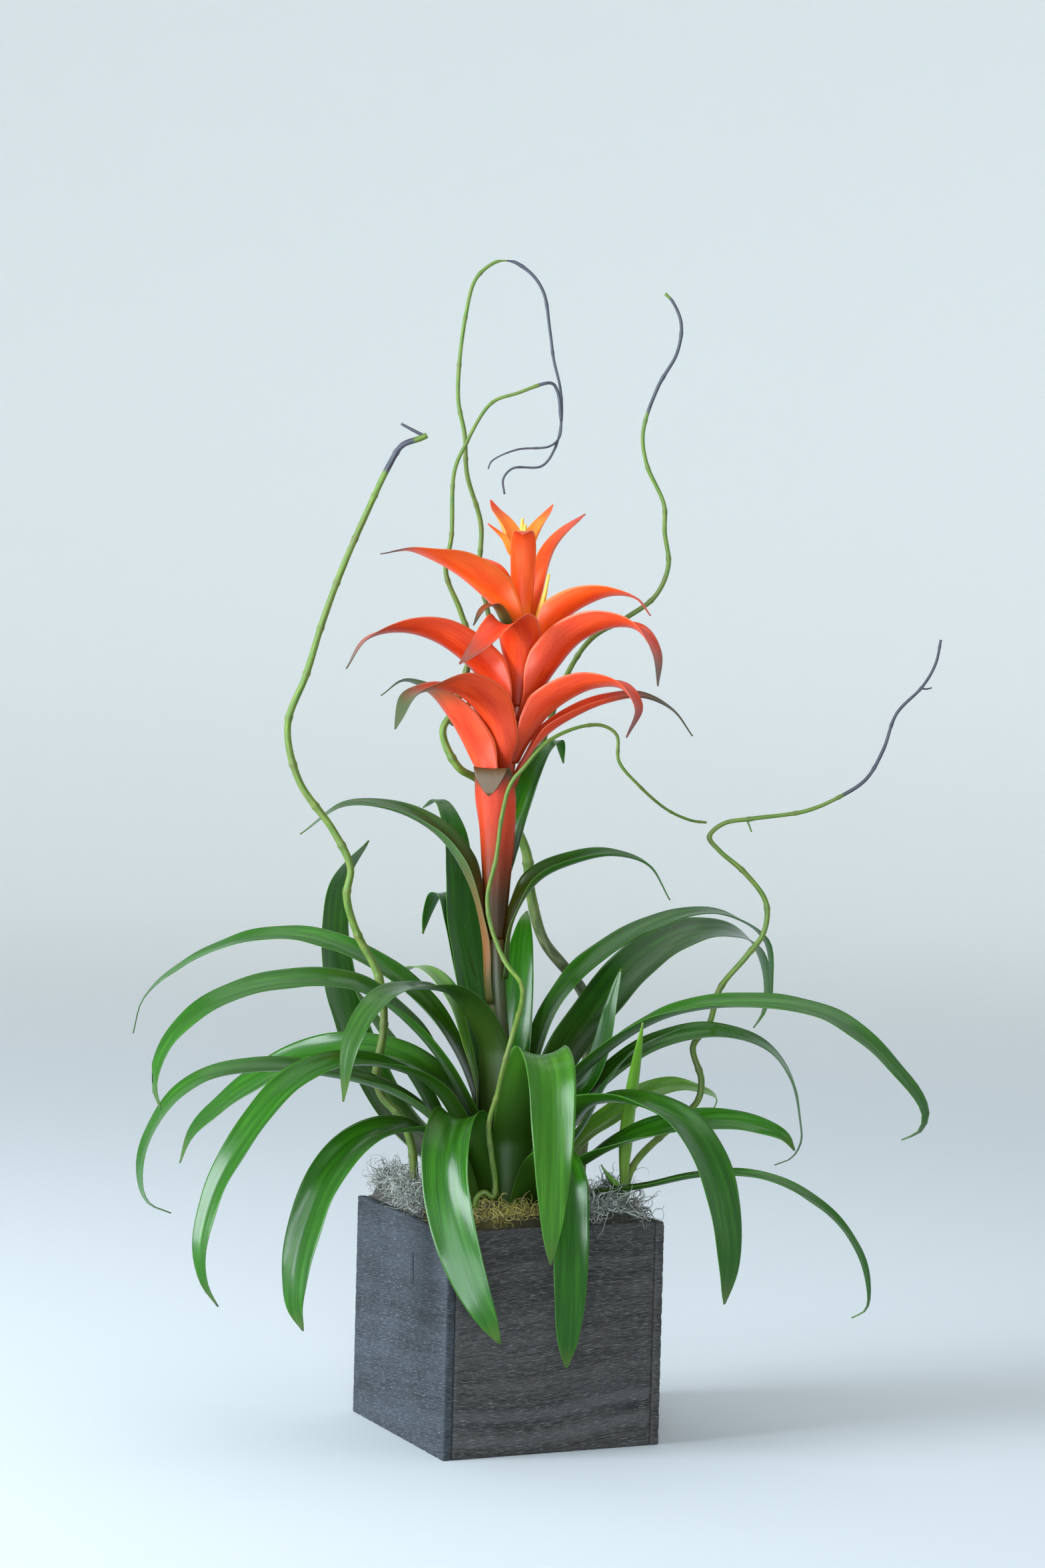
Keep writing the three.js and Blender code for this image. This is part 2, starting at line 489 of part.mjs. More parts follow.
const tapered = (thick, thin) => (t) => lerp(thick, thin, t);
const vineFinish = finish(COLOUR.vine, 0.55);
piece('vine_left', join(stalk(VINE_LEFT, tapered(3, 1.9), 42, 7), stalk(VINE_LEFT_TWIG, tapered(1.3, 0.9), 2, 6)), vineFinish);
piece('vine_front', stalk(VINE_FRONT, tapered(2, 0.9), 52, 6), vineFinish);
piece('vine_right', join(stalk(VINE_RIGHT, tapered(2.7, 0.9), 48, 7),
  ...VINE_RIGHT_TWIGS.map((twig) => stalk(twig, tapered(0.7, 0.5), 2, 5))), vineFinish);
piece('vine_back', join(
  stalk(VINE_BACK, (t) => lerp(4.3, 1.1, smooth(t, 0.12, 0.95)), 50, 7),
  stalk(VINE_BACK_LOOP, tapered(1.9, 0.7), 42, 6),
  stalk(VINE_BACK_TWIG, tapered(0.9, 0.5), 9, 5),
  stalk(VINE_BACK_RIGHT, tapered(2.1, 1), 34, 6)), vineFinish);

// Side shoot: narrow blades that stand on one short foot in the soil at the right
const SHOOT = { x: 74, y: -20 };
const shootBlades = [
  [282, 9, [[2, 165], [5, 190], [20, 235], [40, 276]]],
  [165, 8, [[4, 162], [9, 168], [15, 178]]],
].map(([azimuth, width, points]) => bladeGeometry({
  azimuth, width, base: 4, steps: 9, axis: () => SHOOT, points: [[1, 154], ...points],
  form: { ...BRACT_FORM, wrapFrom: 3, wrapTo: 7 },
}));
piece('side_shoot', join(post(2.6, SHOOT.x, SHOOT.y, 95, 158, 8), ...shootBlades), finish(COLOUR.youngLeaf, 0.4));

// Planter boards, liner and soil
function board(width, depth, height, x, y, z) {
  const outline = new THREE.Shape();
  outline.moveTo(-width / 2 + EDGE, -depth / 2 + EDGE);
  outline.lineTo(width / 2 - EDGE, -depth / 2 + EDGE);
  outline.lineTo(width / 2 - EDGE, depth / 2 - EDGE);
  outline.lineTo(-width / 2 + EDGE, depth / 2 - EDGE);
  return new THREE.ExtrudeGeometry(outline, {
    depth: height - 2 * EDGE, bevelEnabled: true, bevelThickness: EDGE, bevelSize: EDGE, bevelSegments: 1,
  }).translate(x, y, z + EDGE);
}

const inner = SIDE - 2 * BOARD;
for (const [name, sign] of [['board_left', -1], ['board_right', 1]]) {
  piece(name, board(BOARD, SIDE, HEIGHT, sign * (SIDE - BOARD) / 2, 0, 0), finish(COLOUR.wood, 0.85), part);
}
for (const [name, sign] of [['board_front', -1], ['board_back', 1]]) {
  piece(name, board(inner - 2 * JOINT, BOARD, HEIGHT, 0, sign * (SIDE - BOARD) / 2, 0), finish(COLOUR.wood, 0.85), part);
}
piece('board_bottom', board(inner - 2 * GAP, inner - 2 * GAP, BOTTOM, 0, 0, 0), finish(COLOUR.wood, 0.85), part);

const linerSide = inner - 2 * GAP;
const linerFloor = BOTTOM + GAP;
piece('plastic_liner', cut(
  box(linerSide, linerSide, LINER_TOP - linerFloor, 0, 0, linerFloor),
  box(linerSide - 2 * LINER_WALL, linerSide - 2 * LINER_WALL, LINER_TOP, 0, 0, linerFloor + LINER_WALL),
), finish(COLOUR.liner, 0.5), part);

const turned = ([x, y]) => {
  const spot = new THREE.Vector3(x, y, 0).applyAxisAngle(new THREE.Vector3(0, 0, 1), rad(PLANT_TURN));
  return [spot.x, spot.y];
};
const STANDING = [
  [STEM[0], 8], [VINE_LEFT[0], 3], [VINE_FRONT[0], 2], [VINE_RIGHT[0], 2.7], [VINE_BACK[0], 4.3],
  [[SHOOT.x, SHOOT.y, 95], 2.6],
];
const HOLE_ROOM = 0.5;
const soilSide = linerSide - 2 * LINER_WALL - 2 * GAP;
const soilFloor = linerFloor + LINER_WALL + GAP;
piece('soil', cut(
  box(soilSide, soilSide, SOIL_TOP - soilFloor, 0, 0, soilFloor),
  ...STANDING.map(([root, radius]) => post(radius + HOLE_ROOM, ...turned(root), root[2] - GAP, SOIL_TOP + 5)),
), finish(COLOUR.soil, 0.95), part);

// Moss: a lumpy blanket of sheet moss all round the rosette, with a pad of curly grey moss
// on it at the left and at the right corner
const MOSS_HOLE = 37;
const MOSS_FLOOR = SOIL_TOP + GAP;
const PAD_FLOOR = 136;
const MOUNDS = [[-12, -46, 13, 12], [20, -62, 5, 16], [-40, -70, 4, 14], [10, 70, 7, 25], [-30, 55, 3, 18]];
const LEFT_PAD = { from: 150, to: 217.5, steps: 9, mounds: [[-80, 18, 13, 16], [-72, -18, 9, 14]] };
const RIGHT_PAD = { from: 315, to: 375, steps: 8, mounds: [[72, 12, 11, 13], [62, -40, 6, 12]] };

// How far the planter's wall lies from its middle in a direction given in the plant's frame
function wallDistance(half, turn) {
  const angle = turn + rad(PLANT_TURN);
  return half / Math.max(Math.abs(Math.cos(angle)), Math.abs(Math.sin(angle)));
}

function mossTop(x, y, mounds) {
  const out = Math.hypot(x, y);
  const lumps = 1.3 * Math.sin(x * 0.31 + 1.7) * Math.cos(y * 0.27) + 0.9 * Math.sin(x * 0.13 - y * 0.45);
  const heaps = mounds.reduce((sum, [mx, my, height, spread]) => (
    sum + height * Math.exp(-((x - mx) ** 2 + (y - my) ** 2) / (2 * spread ** 2))), 0);
  return lerp(141, 148, smooth(out, 36, 66)) + lumps + heaps;
}

function mossGeometry({ from, to, mounds, floor, steps }, topOf) {
  const whole = to - from === 360;
  const rows = [];
  for (let i = 0; i < steps + (whole ? 0 : 1); i += 1) {
    const turn = rad(lerp(from, to, i / steps));
    const at = (out, height) => new THREE.Vector3(out * Math.cos(turn), out * Math.sin(turn), height);
    const tight = wallDistance(soilSide / 2 - GAP, turn);
    const free = wallDistance(inner / 2 - GAP, turn);
    const hole = (room, height) => at(MOSS_HOLE + room, height).setX(
      ROSETTE.x + (MOSS_HOLE + room) * Math.cos(turn));
    const top = (share) => {
      const spot = hole(1, 0).lerp(at(free, 0), share);
      return spot.setZ(topOf(spot.x, spot.y, turn));
    };
    const ring = floor < LINER_TOP
      ? [hole(0, floor), at(tight, floor), at(tight, LINER_TOP + GAP), at(free, LINER_TOP + 0.7)]
      : [hole(1, floor), at(free, floor)];
    ring.push(at(free, lerp(top(0.9).z, ring[ring.length - 1].z, 0.4)));
    ring.push(...[0.9, 0.7, 0.5, 0.3, 0.12].map(top), hole(1, lerp(top(0).z, floor, 0.3)));
    rows.push(ring.reverse());
  }
  if (!whole) return tubeGeometry(rows);
  const around = rows[0].length;
  const faces = [];
  for (let i = 0; i < steps; i += 1) {
    for (let j = 0; j < around; j += 1) {
      const a = i * around + j;
      const b = i * around + (j + 1) % around;
      const c = ((i + 1) % steps) * around + (j + 1) % around;
      const d = ((i + 1) % steps) * around + j;
      faces.push(a, b, c, a, c, d);
    }
  }
  return meshOf(rows.flat(), faces);
}

const inPad = (turn, pad) => {
  const margin = 8;
  const angle = THREE.MathUtils.euclideanModulo(THREE.MathUtils.radToDeg(turn) - pad.from + margin, 360);
  return angle < pad.to - pad.from + 2 * margin;
};
const vineHoles = [[VINE_LEFT, 3], [VINE_FRONT, 2], [VINE_RIGHT, 2.7], [VINE_BACK, 4.3]].map(([route, radius]) => (
  stalk(route.filter(([, , z]) => z < 190), () => radius + 0.9, 16, 8)));
const shootHole = post(3.4, SHOOT.x, SHOOT.y, SOIL_TOP - 5, 190, 8);

const sheet = mossGeometry({ from: 0, to: 360, floor: MOSS_FLOOR, steps: 48 }, (x, y, turn) => (
  inPad(turn, LEFT_PAD) || inPad(turn, RIGHT_PAD) ? PAD_FLOOR - GAP - 0.2 : mossTop(x, y, MOUNDS)));
piece('sheet_moss', cut(sheet, ...vineHoles, shootHole), finish(COLOUR.greenMoss, 0.95));
for (const [name, pad] of [['grey_moss_left', LEFT_PAD], ['grey_moss_right', RIGHT_PAD]]) {
  const geometry = mossGeometry({ ...pad, floor: PAD_FLOOR }, (x, y) => mossTop(x, y, pad.mounds));
  piece(name, cut(geometry, ...vineHoles, shootHole), finish(COLOUR.greyMoss, 0.95));
}

export default part;
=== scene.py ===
# %% [markdown]
# # A potted bromeliad, built in Blender
# The finished CAD model comes in first as a plain frame. Every later step makes a finer piece
# in the same place, lets it ride on the frame, and hides the plain solid that it stands for.

# %% The frame, and the numbers that everything shares
import math
import bmesh
import bpy
import numpy as np
from mathutils import Matrix, Vector


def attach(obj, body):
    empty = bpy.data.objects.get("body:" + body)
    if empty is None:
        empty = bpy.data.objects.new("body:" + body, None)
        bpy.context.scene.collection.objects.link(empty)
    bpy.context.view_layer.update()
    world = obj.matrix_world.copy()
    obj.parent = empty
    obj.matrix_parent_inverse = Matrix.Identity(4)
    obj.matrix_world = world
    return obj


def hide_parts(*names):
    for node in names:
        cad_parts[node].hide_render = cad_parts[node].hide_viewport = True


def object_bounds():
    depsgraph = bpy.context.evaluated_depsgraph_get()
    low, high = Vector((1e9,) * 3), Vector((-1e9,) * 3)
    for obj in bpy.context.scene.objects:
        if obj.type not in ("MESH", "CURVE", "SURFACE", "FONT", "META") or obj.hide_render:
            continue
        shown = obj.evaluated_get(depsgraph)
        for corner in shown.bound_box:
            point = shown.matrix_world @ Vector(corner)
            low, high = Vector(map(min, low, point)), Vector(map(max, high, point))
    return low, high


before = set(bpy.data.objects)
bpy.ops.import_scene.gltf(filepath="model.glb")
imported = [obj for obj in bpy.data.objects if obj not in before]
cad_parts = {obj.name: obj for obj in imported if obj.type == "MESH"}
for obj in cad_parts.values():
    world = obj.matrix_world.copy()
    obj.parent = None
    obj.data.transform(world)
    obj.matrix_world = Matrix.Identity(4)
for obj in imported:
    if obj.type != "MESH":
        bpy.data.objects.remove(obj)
CAD_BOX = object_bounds()

MM = 0.001
PLANT_TURN = math.radians(-24.5)
ROSETTE = (-3.0, 0.0)
print("CAD box", [[round(v, 4) for v in corner] for corner in CAD_BOX])

# %% [markdown]
# ## The camera
# A photograph is a measuring tool once the camera that took it is known. This one was fitted to
# the planter's corners. They leave its distance open, from about 2 to 3 metres, and 2.4 metres
# was picked. It looks slightly downwards, and it is placed first, so that every later step can
# be judged in the picture.

# %% Camera at the photograph's viewing angle
CAMERA_SPOT = (1.78, -2385.9, 531.2)
CAMERA_PITCH = math.radians(2.59)
CAMERA_ROLL = math.radians(1.48)
FOCAL_PIXELS = 5500
IMAGE_HEIGHT = 2352
SENSOR = 36

turn_plant = Matrix.Rotation(PLANT_TURN, 4, "Z")
camera = bpy.data.objects.new("camera", bpy.data.cameras.new("camera"))
bpy.context.scene.collection.objects.link(camera)
forward = Vector((0, math.cos(CAMERA_PITCH), -math.sin(CAMERA_PITCH)))
level = Vector((1, 0, 0))
upward = level.cross(forward)
right = level * math.cos(CAMERA_ROLL) + upward * math.sin(CAMERA_ROLL)
top = upward * math.cos(CAMERA_ROLL) - level * math.sin(CAMERA_ROLL)
facing = Matrix((right, top, -forward)).transposed().to_4x4()
camera.matrix_world = turn_plant @ Matrix.Translation(Vector(CAMERA_SPOT) * MM) @ facing
camera.data.sensor_width = SENSOR
camera.data.lens = FOCAL_PIXELS * SENSOR / IMAGE_HEIGHT
camera.data.clip_end = 50
bpy.context.scene.camera = camera
bpy.context.scene.view_settings.view_transform = "Standard"
print("lens", round(camera.data.lens, 2), "mm")

# %% [markdown]
# ## Tools for shapes
# Leaves, stems and moss strands are all swept forms: a curve says where the middle goes, and a
# small outline is carried along it. The curve here passes through every point that it is given
# and never overshoots, which suits routes that were read off a picture.

# %% Curves, grids and tubes


def smooth(value, low, high):
    share = np.clip((value - low) / (high - low), 0, 1)
    return share * share * (3 - 2 * share)


def spline(points, share):
    """The curve through points at a share, from 0 to 1, of its segments."""
    p = np.asarray(points, float)
    padded = np.vstack([2 * p[0] - p[1], p, 2 * p[-1] - p[-2]])
    place = np.clip(share, 0, 1) * (len(p) - 1)
    i = np.minimum(place.astype(int), len(p) - 2)
    w = (place - i)[:, None]
    a, b, c, d = (padded[i + k] for k in range(4))
    gaps = [np.sqrt(np.linalg.norm(q - r, axis=1))[:, None] for q, r in ((b, a), (c, b), (d, c))]
    t1 = ((b - a) / gaps[0] - (c - a) / (gaps[0] + gaps[1]) + (c - b) / gaps[1]) * gaps[1]
    t2 = ((c - b) / gaps[1] - (d - b) / (gaps[1] + gaps[2]) + (d - c) / gaps[2]) * gaps[1]
    return b + t1 * w + (3 * (c - b) - 2 * t1 - t2) * w**2 + (2 * (b - c) + t1 + t2) * w**3


def even_spline(points, share):
    """The same curve at an even share of its length."""
    steps = np.linspace(0, 1, 201)
    passed = spline(points, steps)
    length = np.r_[0, np.cumsum(np.linalg.norm(np.diff(passed, axis=0), axis=1))]
    return spline(points, np.interp(np.clip(share, 0, 1) * length[-1], length, steps))


def run_length(points):
    steps = np.linalg.norm(np.diff(points, axis=0), axis=-1)
    return np.concatenate([np.zeros_like(steps[:1]), np.cumsum(steps, axis=0)])


def unit(vectors):
    return vectors / np.maximum(np.linalg.norm(vectors, axis=-1, keepdims=True), 1e-12)


def grid_faces(rows, columns, start=0, closed=False, flip=False):
    i, j = np.meshgrid(np.arange(rows - 1), np.arange(columns if closed else columns - 1), indexing="ij")
    a = start + i * columns + j
    b = start + i * columns + (j + 1) % columns
    quads = np.stack([a, b, b + columns, a + columns], -1).reshape(-1, 4)
    return quads[:, ::-1] if flip else quads


def tube(route, radii, sides, ripple=None):
    """A round stem along points of its middle line: points, faces, and (along, around) of each point."""
    count = len(route)
    along = unit(np.gradient(route, axis=0))
    side = np.zeros_like(route)
    guess = np.cross(along[0], (0.31, 0.91, 0.27))
    for k in range(count):
        guess = guess - along[k] * (guess @ along[k])
        guess /= np.linalg.norm(guess)
        side[k] = guess
    other = np.cross(along, side)
    angle = np.linspace(0, 2 * math.pi, sides, endpoint=False)
    size = np.broadcast_to(np.asarray(radii, float)[:, None], (count, sides))
    if ripple is not None:
        size = size * ripple(np.arange(count)[:, None] / (count - 1), angle[None, :])
    points = (route[:, None] + size[..., None] * (
        np.cos(angle)[None, :, None] * side[:, None] + np.sin(angle)[None, :, None] * other[:, None]))
    faces = [list(f) for f in grid_faces(count, sides, closed=True)]
    faces.append(list(range(sides))[::-1])
    faces.append([(count - 1) * sides + k for k in range(sides)])
    run = np.broadcast_to(run_length(route)[:, None], (count, sides))
    around = np.broadcast_to(angle[None, :] / (2 * math.pi), (count, sides))
    return points.reshape(-1, 3), faces, np.stack([run.ravel(), around.ravel()], -1)


def joined(parts):
    """Several (points, faces, traits) as one."""
    points, faces, traits = [], [], []
    start = 0
    for p, f, t in parts:
        points.append(p)
        faces += [[v + start for v in face] for face in f]
        traits.append(t)
        start += len(p)
    return np.vstack(points), faces, np.vstack(traits)


def in_part_frame(points):
    """Plant millimetres to the part's own metres."""
    x, y, z = np.asarray(points, float).T * MM
    c, s = math.cos(PLANT_TURN), math.sin(PLANT_TURN)
    return np.stack([c * x - s * y, s * x + c * y, z], -1)


made_triangles = {}


def make_piece(name, points, faces, finishes, stands_for, traits=None, names=(), face_finish=None,
               smooth_angle=180, body="root"):
    """A new piece in the part's frame. traits are columns of numbers for each point, which
    the finishes read by name. Points past the frame's box are pressed back to it: one leaf's
    edge and the top of the highest vine would stand out by up to 1.4 mm."""
    low, high = np.array(CAD_BOX[0]), np.array(CAD_BOX[1])
    points = np.clip(points, low, high)
    mesh = bpy.data.meshes.new(name)
    mesh.from_pydata(points.tolist(), [], [list(map(int, f)) for f in faces])
    for material in finishes:
        mesh.materials.append(material)
    if face_finish is not None:
        mesh.polygons.foreach_set("material_index", face_finish)
    for k, trait in enumerate(names):
        layer = mesh.attributes.new(trait, "FLOAT", "POINT")
        layer.data.foreach_set("value", np.ascontiguousarray(traits[:, k], dtype=np.float32))
    mesh.polygons.foreach_set("use_smooth", np.ones(len(mesh.polygons), bool))
    mesh.validate()
    mesh.update()
    if smooth_angle < 180:
        mesh.set_sharp_from_angle(angle=math.radians(smooth_angle))
    obj = bpy.data.objects.new(name, mesh)
    bpy.context.scene.collection.objects.link(obj)
    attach(obj, body)
    if stands_for:
        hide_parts(*([stands_for] if isinstance(stands_for, str) else stands_for))
    made_triangles[name] = sum(len(p.vertices) - 2 for p in mesh.polygons)
    return obj


# %% [markdown]
# ## Tools for finishes
# A finish is a small network of nodes. Most of these start from a few plain facts about each
# point, such as how far along the leaf it lies, and turn them into colour, gloss and relief.

# %% Node helpers


def new_finish(name, **settings):
    material = bpy.data.materials.new(name)
    material.use_nodes = True
    shader = material.node_tree.nodes["Principled BSDF"]
    for socket, value in settings.items():
        shader.inputs[socket.replace("_", " ")].default_value = value
    return material, material.node_tree, shader


def node(tree, kind, inputs=None, **settings):
    made = tree.nodes.new(kind)
    for key, value in settings.items():
        setattr(made, key, value)
    for key, value in (inputs or {}).items():
        if isinstance(value, bpy.types.NodeSocket):
            tree.links.new(value, made.inputs[key])
        else:
            made.inputs[key].default_value = value
    return made


def maths(tree, operation, *values):
    return node(tree, "ShaderNodeMath", dict(enumerate(values)), operation=operation).outputs[0]


def times(tree, first, second):
    return maths(tree, "MULTIPLY", first, second)


def plus(tree, first, second):
    return maths(tree, "ADD", first, second)


def minus(tree, first, second):
    return maths(tree, "SUBTRACT", first, second)


def scaled(tree, value, low, high, to_low=0.0, to_high=1.0):
    """value taken from one range to another, and kept inside it, with soft ends."""
    return node(tree, "ShaderNodeMapRange", {0: value, 1: low, 2: high, 3: to_low, 4: to_high},
                interpolation_type="SMOOTHSTEP").outputs[0]


def mixed(tree, share, first, second):
    colours = {6: first, 7: second}
    return node(tree, "ShaderNodeMix", {0: share, **{
        k: (*v, 1) if isinstance(v, tuple) and len(v) == 3 else v for k, v in colours.items()}},
        data_type="RGBA").outputs[2]


def trait(tree, name):
    return node(tree, "ShaderNodeAttribute", attribute_name=name).outputs["Fac"]


def place_of(tree, x, y, z=0.0):
    return node(tree, "ShaderNodeCombineXYZ", {0: x, 1: y, 2: z}).outputs[0]


def noise(tree, vector, scale, detail, rough):
    return node(tree, "ShaderNodeTexNoise", {
        "Vector": vector, "Scale": scale, "Detail": detail, "Roughness": rough}).outputs[0]


def streaks(tree, first, first_rate, second, second_rate, detail, rough, third=0.0):
    """Noise that changes at one rate along the first value and at another along the second."""
    spot = place_of(tree, times(tree, first, first_rate), times(tree, second, second_rate), third)
    return noise(tree, spot, 1.0, detail, rough)


def relief(tree, height, strength, depth, under=None):
    inputs = {"Strength": strength, "Distance": depth, "Height": height}
    if under is not None:
        inputs["Normal"] = under
    return node(tree, "ShaderNodeBump", inputs).outputs[0]


def object_place(tree):
    return node(tree, "ShaderNodeTexCoord").outputs["Object"]


def set_look(tree, shader, colour, dullness, normal):
    for socket, value in (("Base Color", colour), ("Roughness", dullness), ("Normal", normal)):
        tree.links.new(value, shader.inputs[socket])


# %% [markdown]
# ## Blades
# A bromeliad leaf is one long strap. Its foot is a broad sheath that wraps round the plant's
# middle and holds rain water, and further out it opens into a channelled blade that bends under
# its own weight. Modelling both as one surface, and blending the wrap into the strap by how far
# out a point lies, keeps the leaf in one piece as it is in life.

# %% The shape of a blade
LEAF_FOOT = 127.5
LEAF_THICK = 0.8
MARGIN_THICK = 0.3
SHEATH_STEP = 1.3
STEM_CLEAR = 0.5
BRACT_CLEAR = 0.45
SHEATH_FLARE = 0.03
WRAP_MOST = 1.9
FLAT_SHARE = 0.9
ROWS_TO_ENDS = 0.35
GROOVE_WIDTH = 0.12
COLUMNS_TO_EDGES = 0.35
STEM_FOOT = 95
STEM_TOP = 566
STEM_RADII = (8, 6.6, 3)
STEM_SLIMS = (100, 200)
STEM = [(-3, 0, 95), (-3, 0, 190), (-12, 0, 300), (-13, 0, 370), (-7, 0, 440), (0, 0, 505), (-3, 0, 566)]
LEAF_FORM = dict(wrap_from=26, wrap_to=60, strips=3, channel=0.1, broad=0.35, taper=4.5, tip=1.2)
BRACT_FORM = dict(wrap_from=10, wrap_to=26, strips=3, channel=0.2, broad=0.22, taper=3.6, tip=1.1)

stem_line = spline(STEM, np.linspace(0, 1, 2001))


def stem_at(height):
    """The middle of the flower stem at a height, as x and y."""
    return (np.interp(height, stem_line[:, 2], stem_line[:, 0]),
            np.interp(height, stem_line[:, 2], stem_line[:, 1]))


def stem_radius(height):
    wide, slim, narrow = STEM_RADII
    low, high = STEM_SLIMS
    thick = wide + (slim - wide) * smooth(height, low, high)
    return np.where(height < high, thick, slim + (narrow - slim) * (height - high) / (STEM_TOP - high))


def blade_surface(blade, t, q):
    """Points of a blade's upper face: t runs from foot to tip, q from -1 to 1 across."""
    form = blade["form"]

    def line(share):
        share = np.clip(share, 0, 1)
        passed = even_spline([(r, h) for r, h in blade["points"]], share)
        turn = np.radians(blade["azimuth"] + blade.get("sweep", 0) * share**2)
        inmost = blade["points"][0][0] + SHEATH_FLARE * (passed[:, 1] - blade["points"][0][1])
        reach = np.where(share < 0.5, np.maximum(passed[:, 0], inmost), passed[:, 0])
        x, y = blade["axis"](passed[:, 1], share)
        spot = np.stack([x + reach * np.cos(turn), y + reach * np.sin(turn), passed[:, 1]], -1)
        return spot, reach, turn, np.stack([x + 0 * reach, y + 0 * reach], -1)

    centre, reach, turn, foot = line(t)
    along = unit(line(t + 0.01)[0] - line(t - 0.01)[0])
    side = np.stack([-np.sin(turn), np.cos(turn), 0 * turn], -1)
    side = unit(side - along * np.sum(side * along, -1, keepdims=True))
    up = np.cross(along, side)
    lean = blade.get("lean", 0) * smooth(t, 0.05, 0.3) * (1 - 0.8 * smooth(t, 0.5, 0.85))
    roll = np.radians(blade.get("roll", 0) * smooth(t, 0.15, 0.6) + lean)[:, None]
    width = blade["base"] + (blade["width"] - blade["base"]) * smooth(t, 0, form["broad"])
    half = np.maximum(width * np.maximum(1 - t ** form["taper"], 0) ** 0.8, form["tip"]) / 2
    across = side * np.cos(roll) + up * np.sin(roll)
    above = up * np.cos(roll) - side * np.sin(roll)
    depth = form["channel"] * 4 * half * (1 - smooth(t, 0.35, 1))
    strap = (centre[:, None] + across[:, None] * (half[:, None] * q)[..., None]
             + above[:, None] * (depth[:, None] * q**2)[..., None])
    wrap = turn[:, None] + np.clip(half[:, None] * q / reach[:, None], -WRAP_MOST, WRAP_MOST)
    sheath = np.stack([foot[:, :1] + reach[:, None] * np.cos(wrap),
                       foot[:, 1:] + reach[:, None] * np.sin(wrap),
                       np.broadcast_to(centre[:, 2:], wrap.shape)], -1)
    opened = smooth(reach, form["wrap_from"], form["wrap_to"])[:, None, None]
    return sheath + (strap - sheath) * opened, half


def blade_mesh(blade, steps=84, columns=14, crease=0.0, wave=0.0):
    """A blade as a closed thin solid, with its along, across and under traits."""
    t = np.linspace(0, 1, steps + 1)
    t = t - ROWS_TO_ENDS * t * (1 - t) * (2 * t - 1)
    even = np.linspace(-1, 1, columns + 1)
    q = (np.sin(np.linspace(-math.pi / 2, math.pi / 2, columns + 1)) * COLUMNS_TO_EDGES
         + even * (1 - COLUMNS_TO_EDGES))[None, :]
    face, half = blade_surface(blade, t, q)
    normal = unit(np.cross(np.gradient(face, axis=0), np.gradient(face, axis=1)))
    grown = smooth(t, 0.2, 0.45) * (1 - smooth(t, 0.85, 1))
    if crease:
        groove = np.exp(-(q / GROOVE_WIDTH) ** 2) * grown[:, None]
        face = face - normal * (crease * groove)[..., None]
    if wave:
        run = run_length(face[:, columns // 2])
        ripple = np.sin(run / 9 + blade["azimuth"])[:, None] * q + np.sin(run / 6 + 2)[:, None] * np.abs(q)
        face = face + normal * (wave * np.abs(q) ** 3 * ripple * grown[:, None])[..., None]
    thick = LEAF_THICK + (MARGIN_THICK - LEAF_THICK) * smooth(np.abs(q), 0.55, 1)
    under = face - normal * thick[..., None]
    rows, width = face.shape[:2]
    points = np.vstack([face.reshape(-1, 3), under.reshape(-1, 3)])
    low = rows * width
    faces = [list(f) for f in grid_faces(rows, width, flip=True)]
    faces += [list(f) for f in grid_faces(rows, width, start=low)]
    for edge in (0, width - 1):
        for i in range(rows - 1):
            here, on = i * width + edge, (i + 1) * width + edge
            quad = [here, on, low + on, low + here]
            faces.append(quad if edge else quad[::-1])
    for end in (0, rows - 1):
        for j in range(width - 1):
            a = end * width + j
            quad = [a, a + 1, low + a + 1, low + a]
            faces.append(quad[::-1] if end else quad)
    run = np.broadcast_to(run_length(face[:, columns // 2])[:, None], (rows, width))
    traits = np.stack([np.broadcast_to(t[:, None], (rows, width)), np.broadcast_to(q, (rows, width)), run,
                       half[:, None] * q, np.zeros((rows, width))], -1).reshape(-1, 5)
    below = traits.copy()
    below[:, 4] = 1
    return points, faces, np.vstack([traits, below])


BLADE_TRAITS = ("along", "across", "run", "span", "under")


def post(x, y, heights, radii, sides, span, along=0.0):
    """A short round post with a blade's traits, so that it can wear the same finish."""
    points, faces, ways = tube(np.array([[x, y, z] for z in heights]), np.array(radii), sides)
    traits = np.zeros((len(points), len(BLADE_TRAITS)))
    traits[:, 0] = along
    traits[:, 2] = ways[:, 0]
    traits[:, 3] = ways[:, 1] * span
    return points, faces, traits


print("stem from", STEM[0][2], "to", STEM_TOP, "mm")
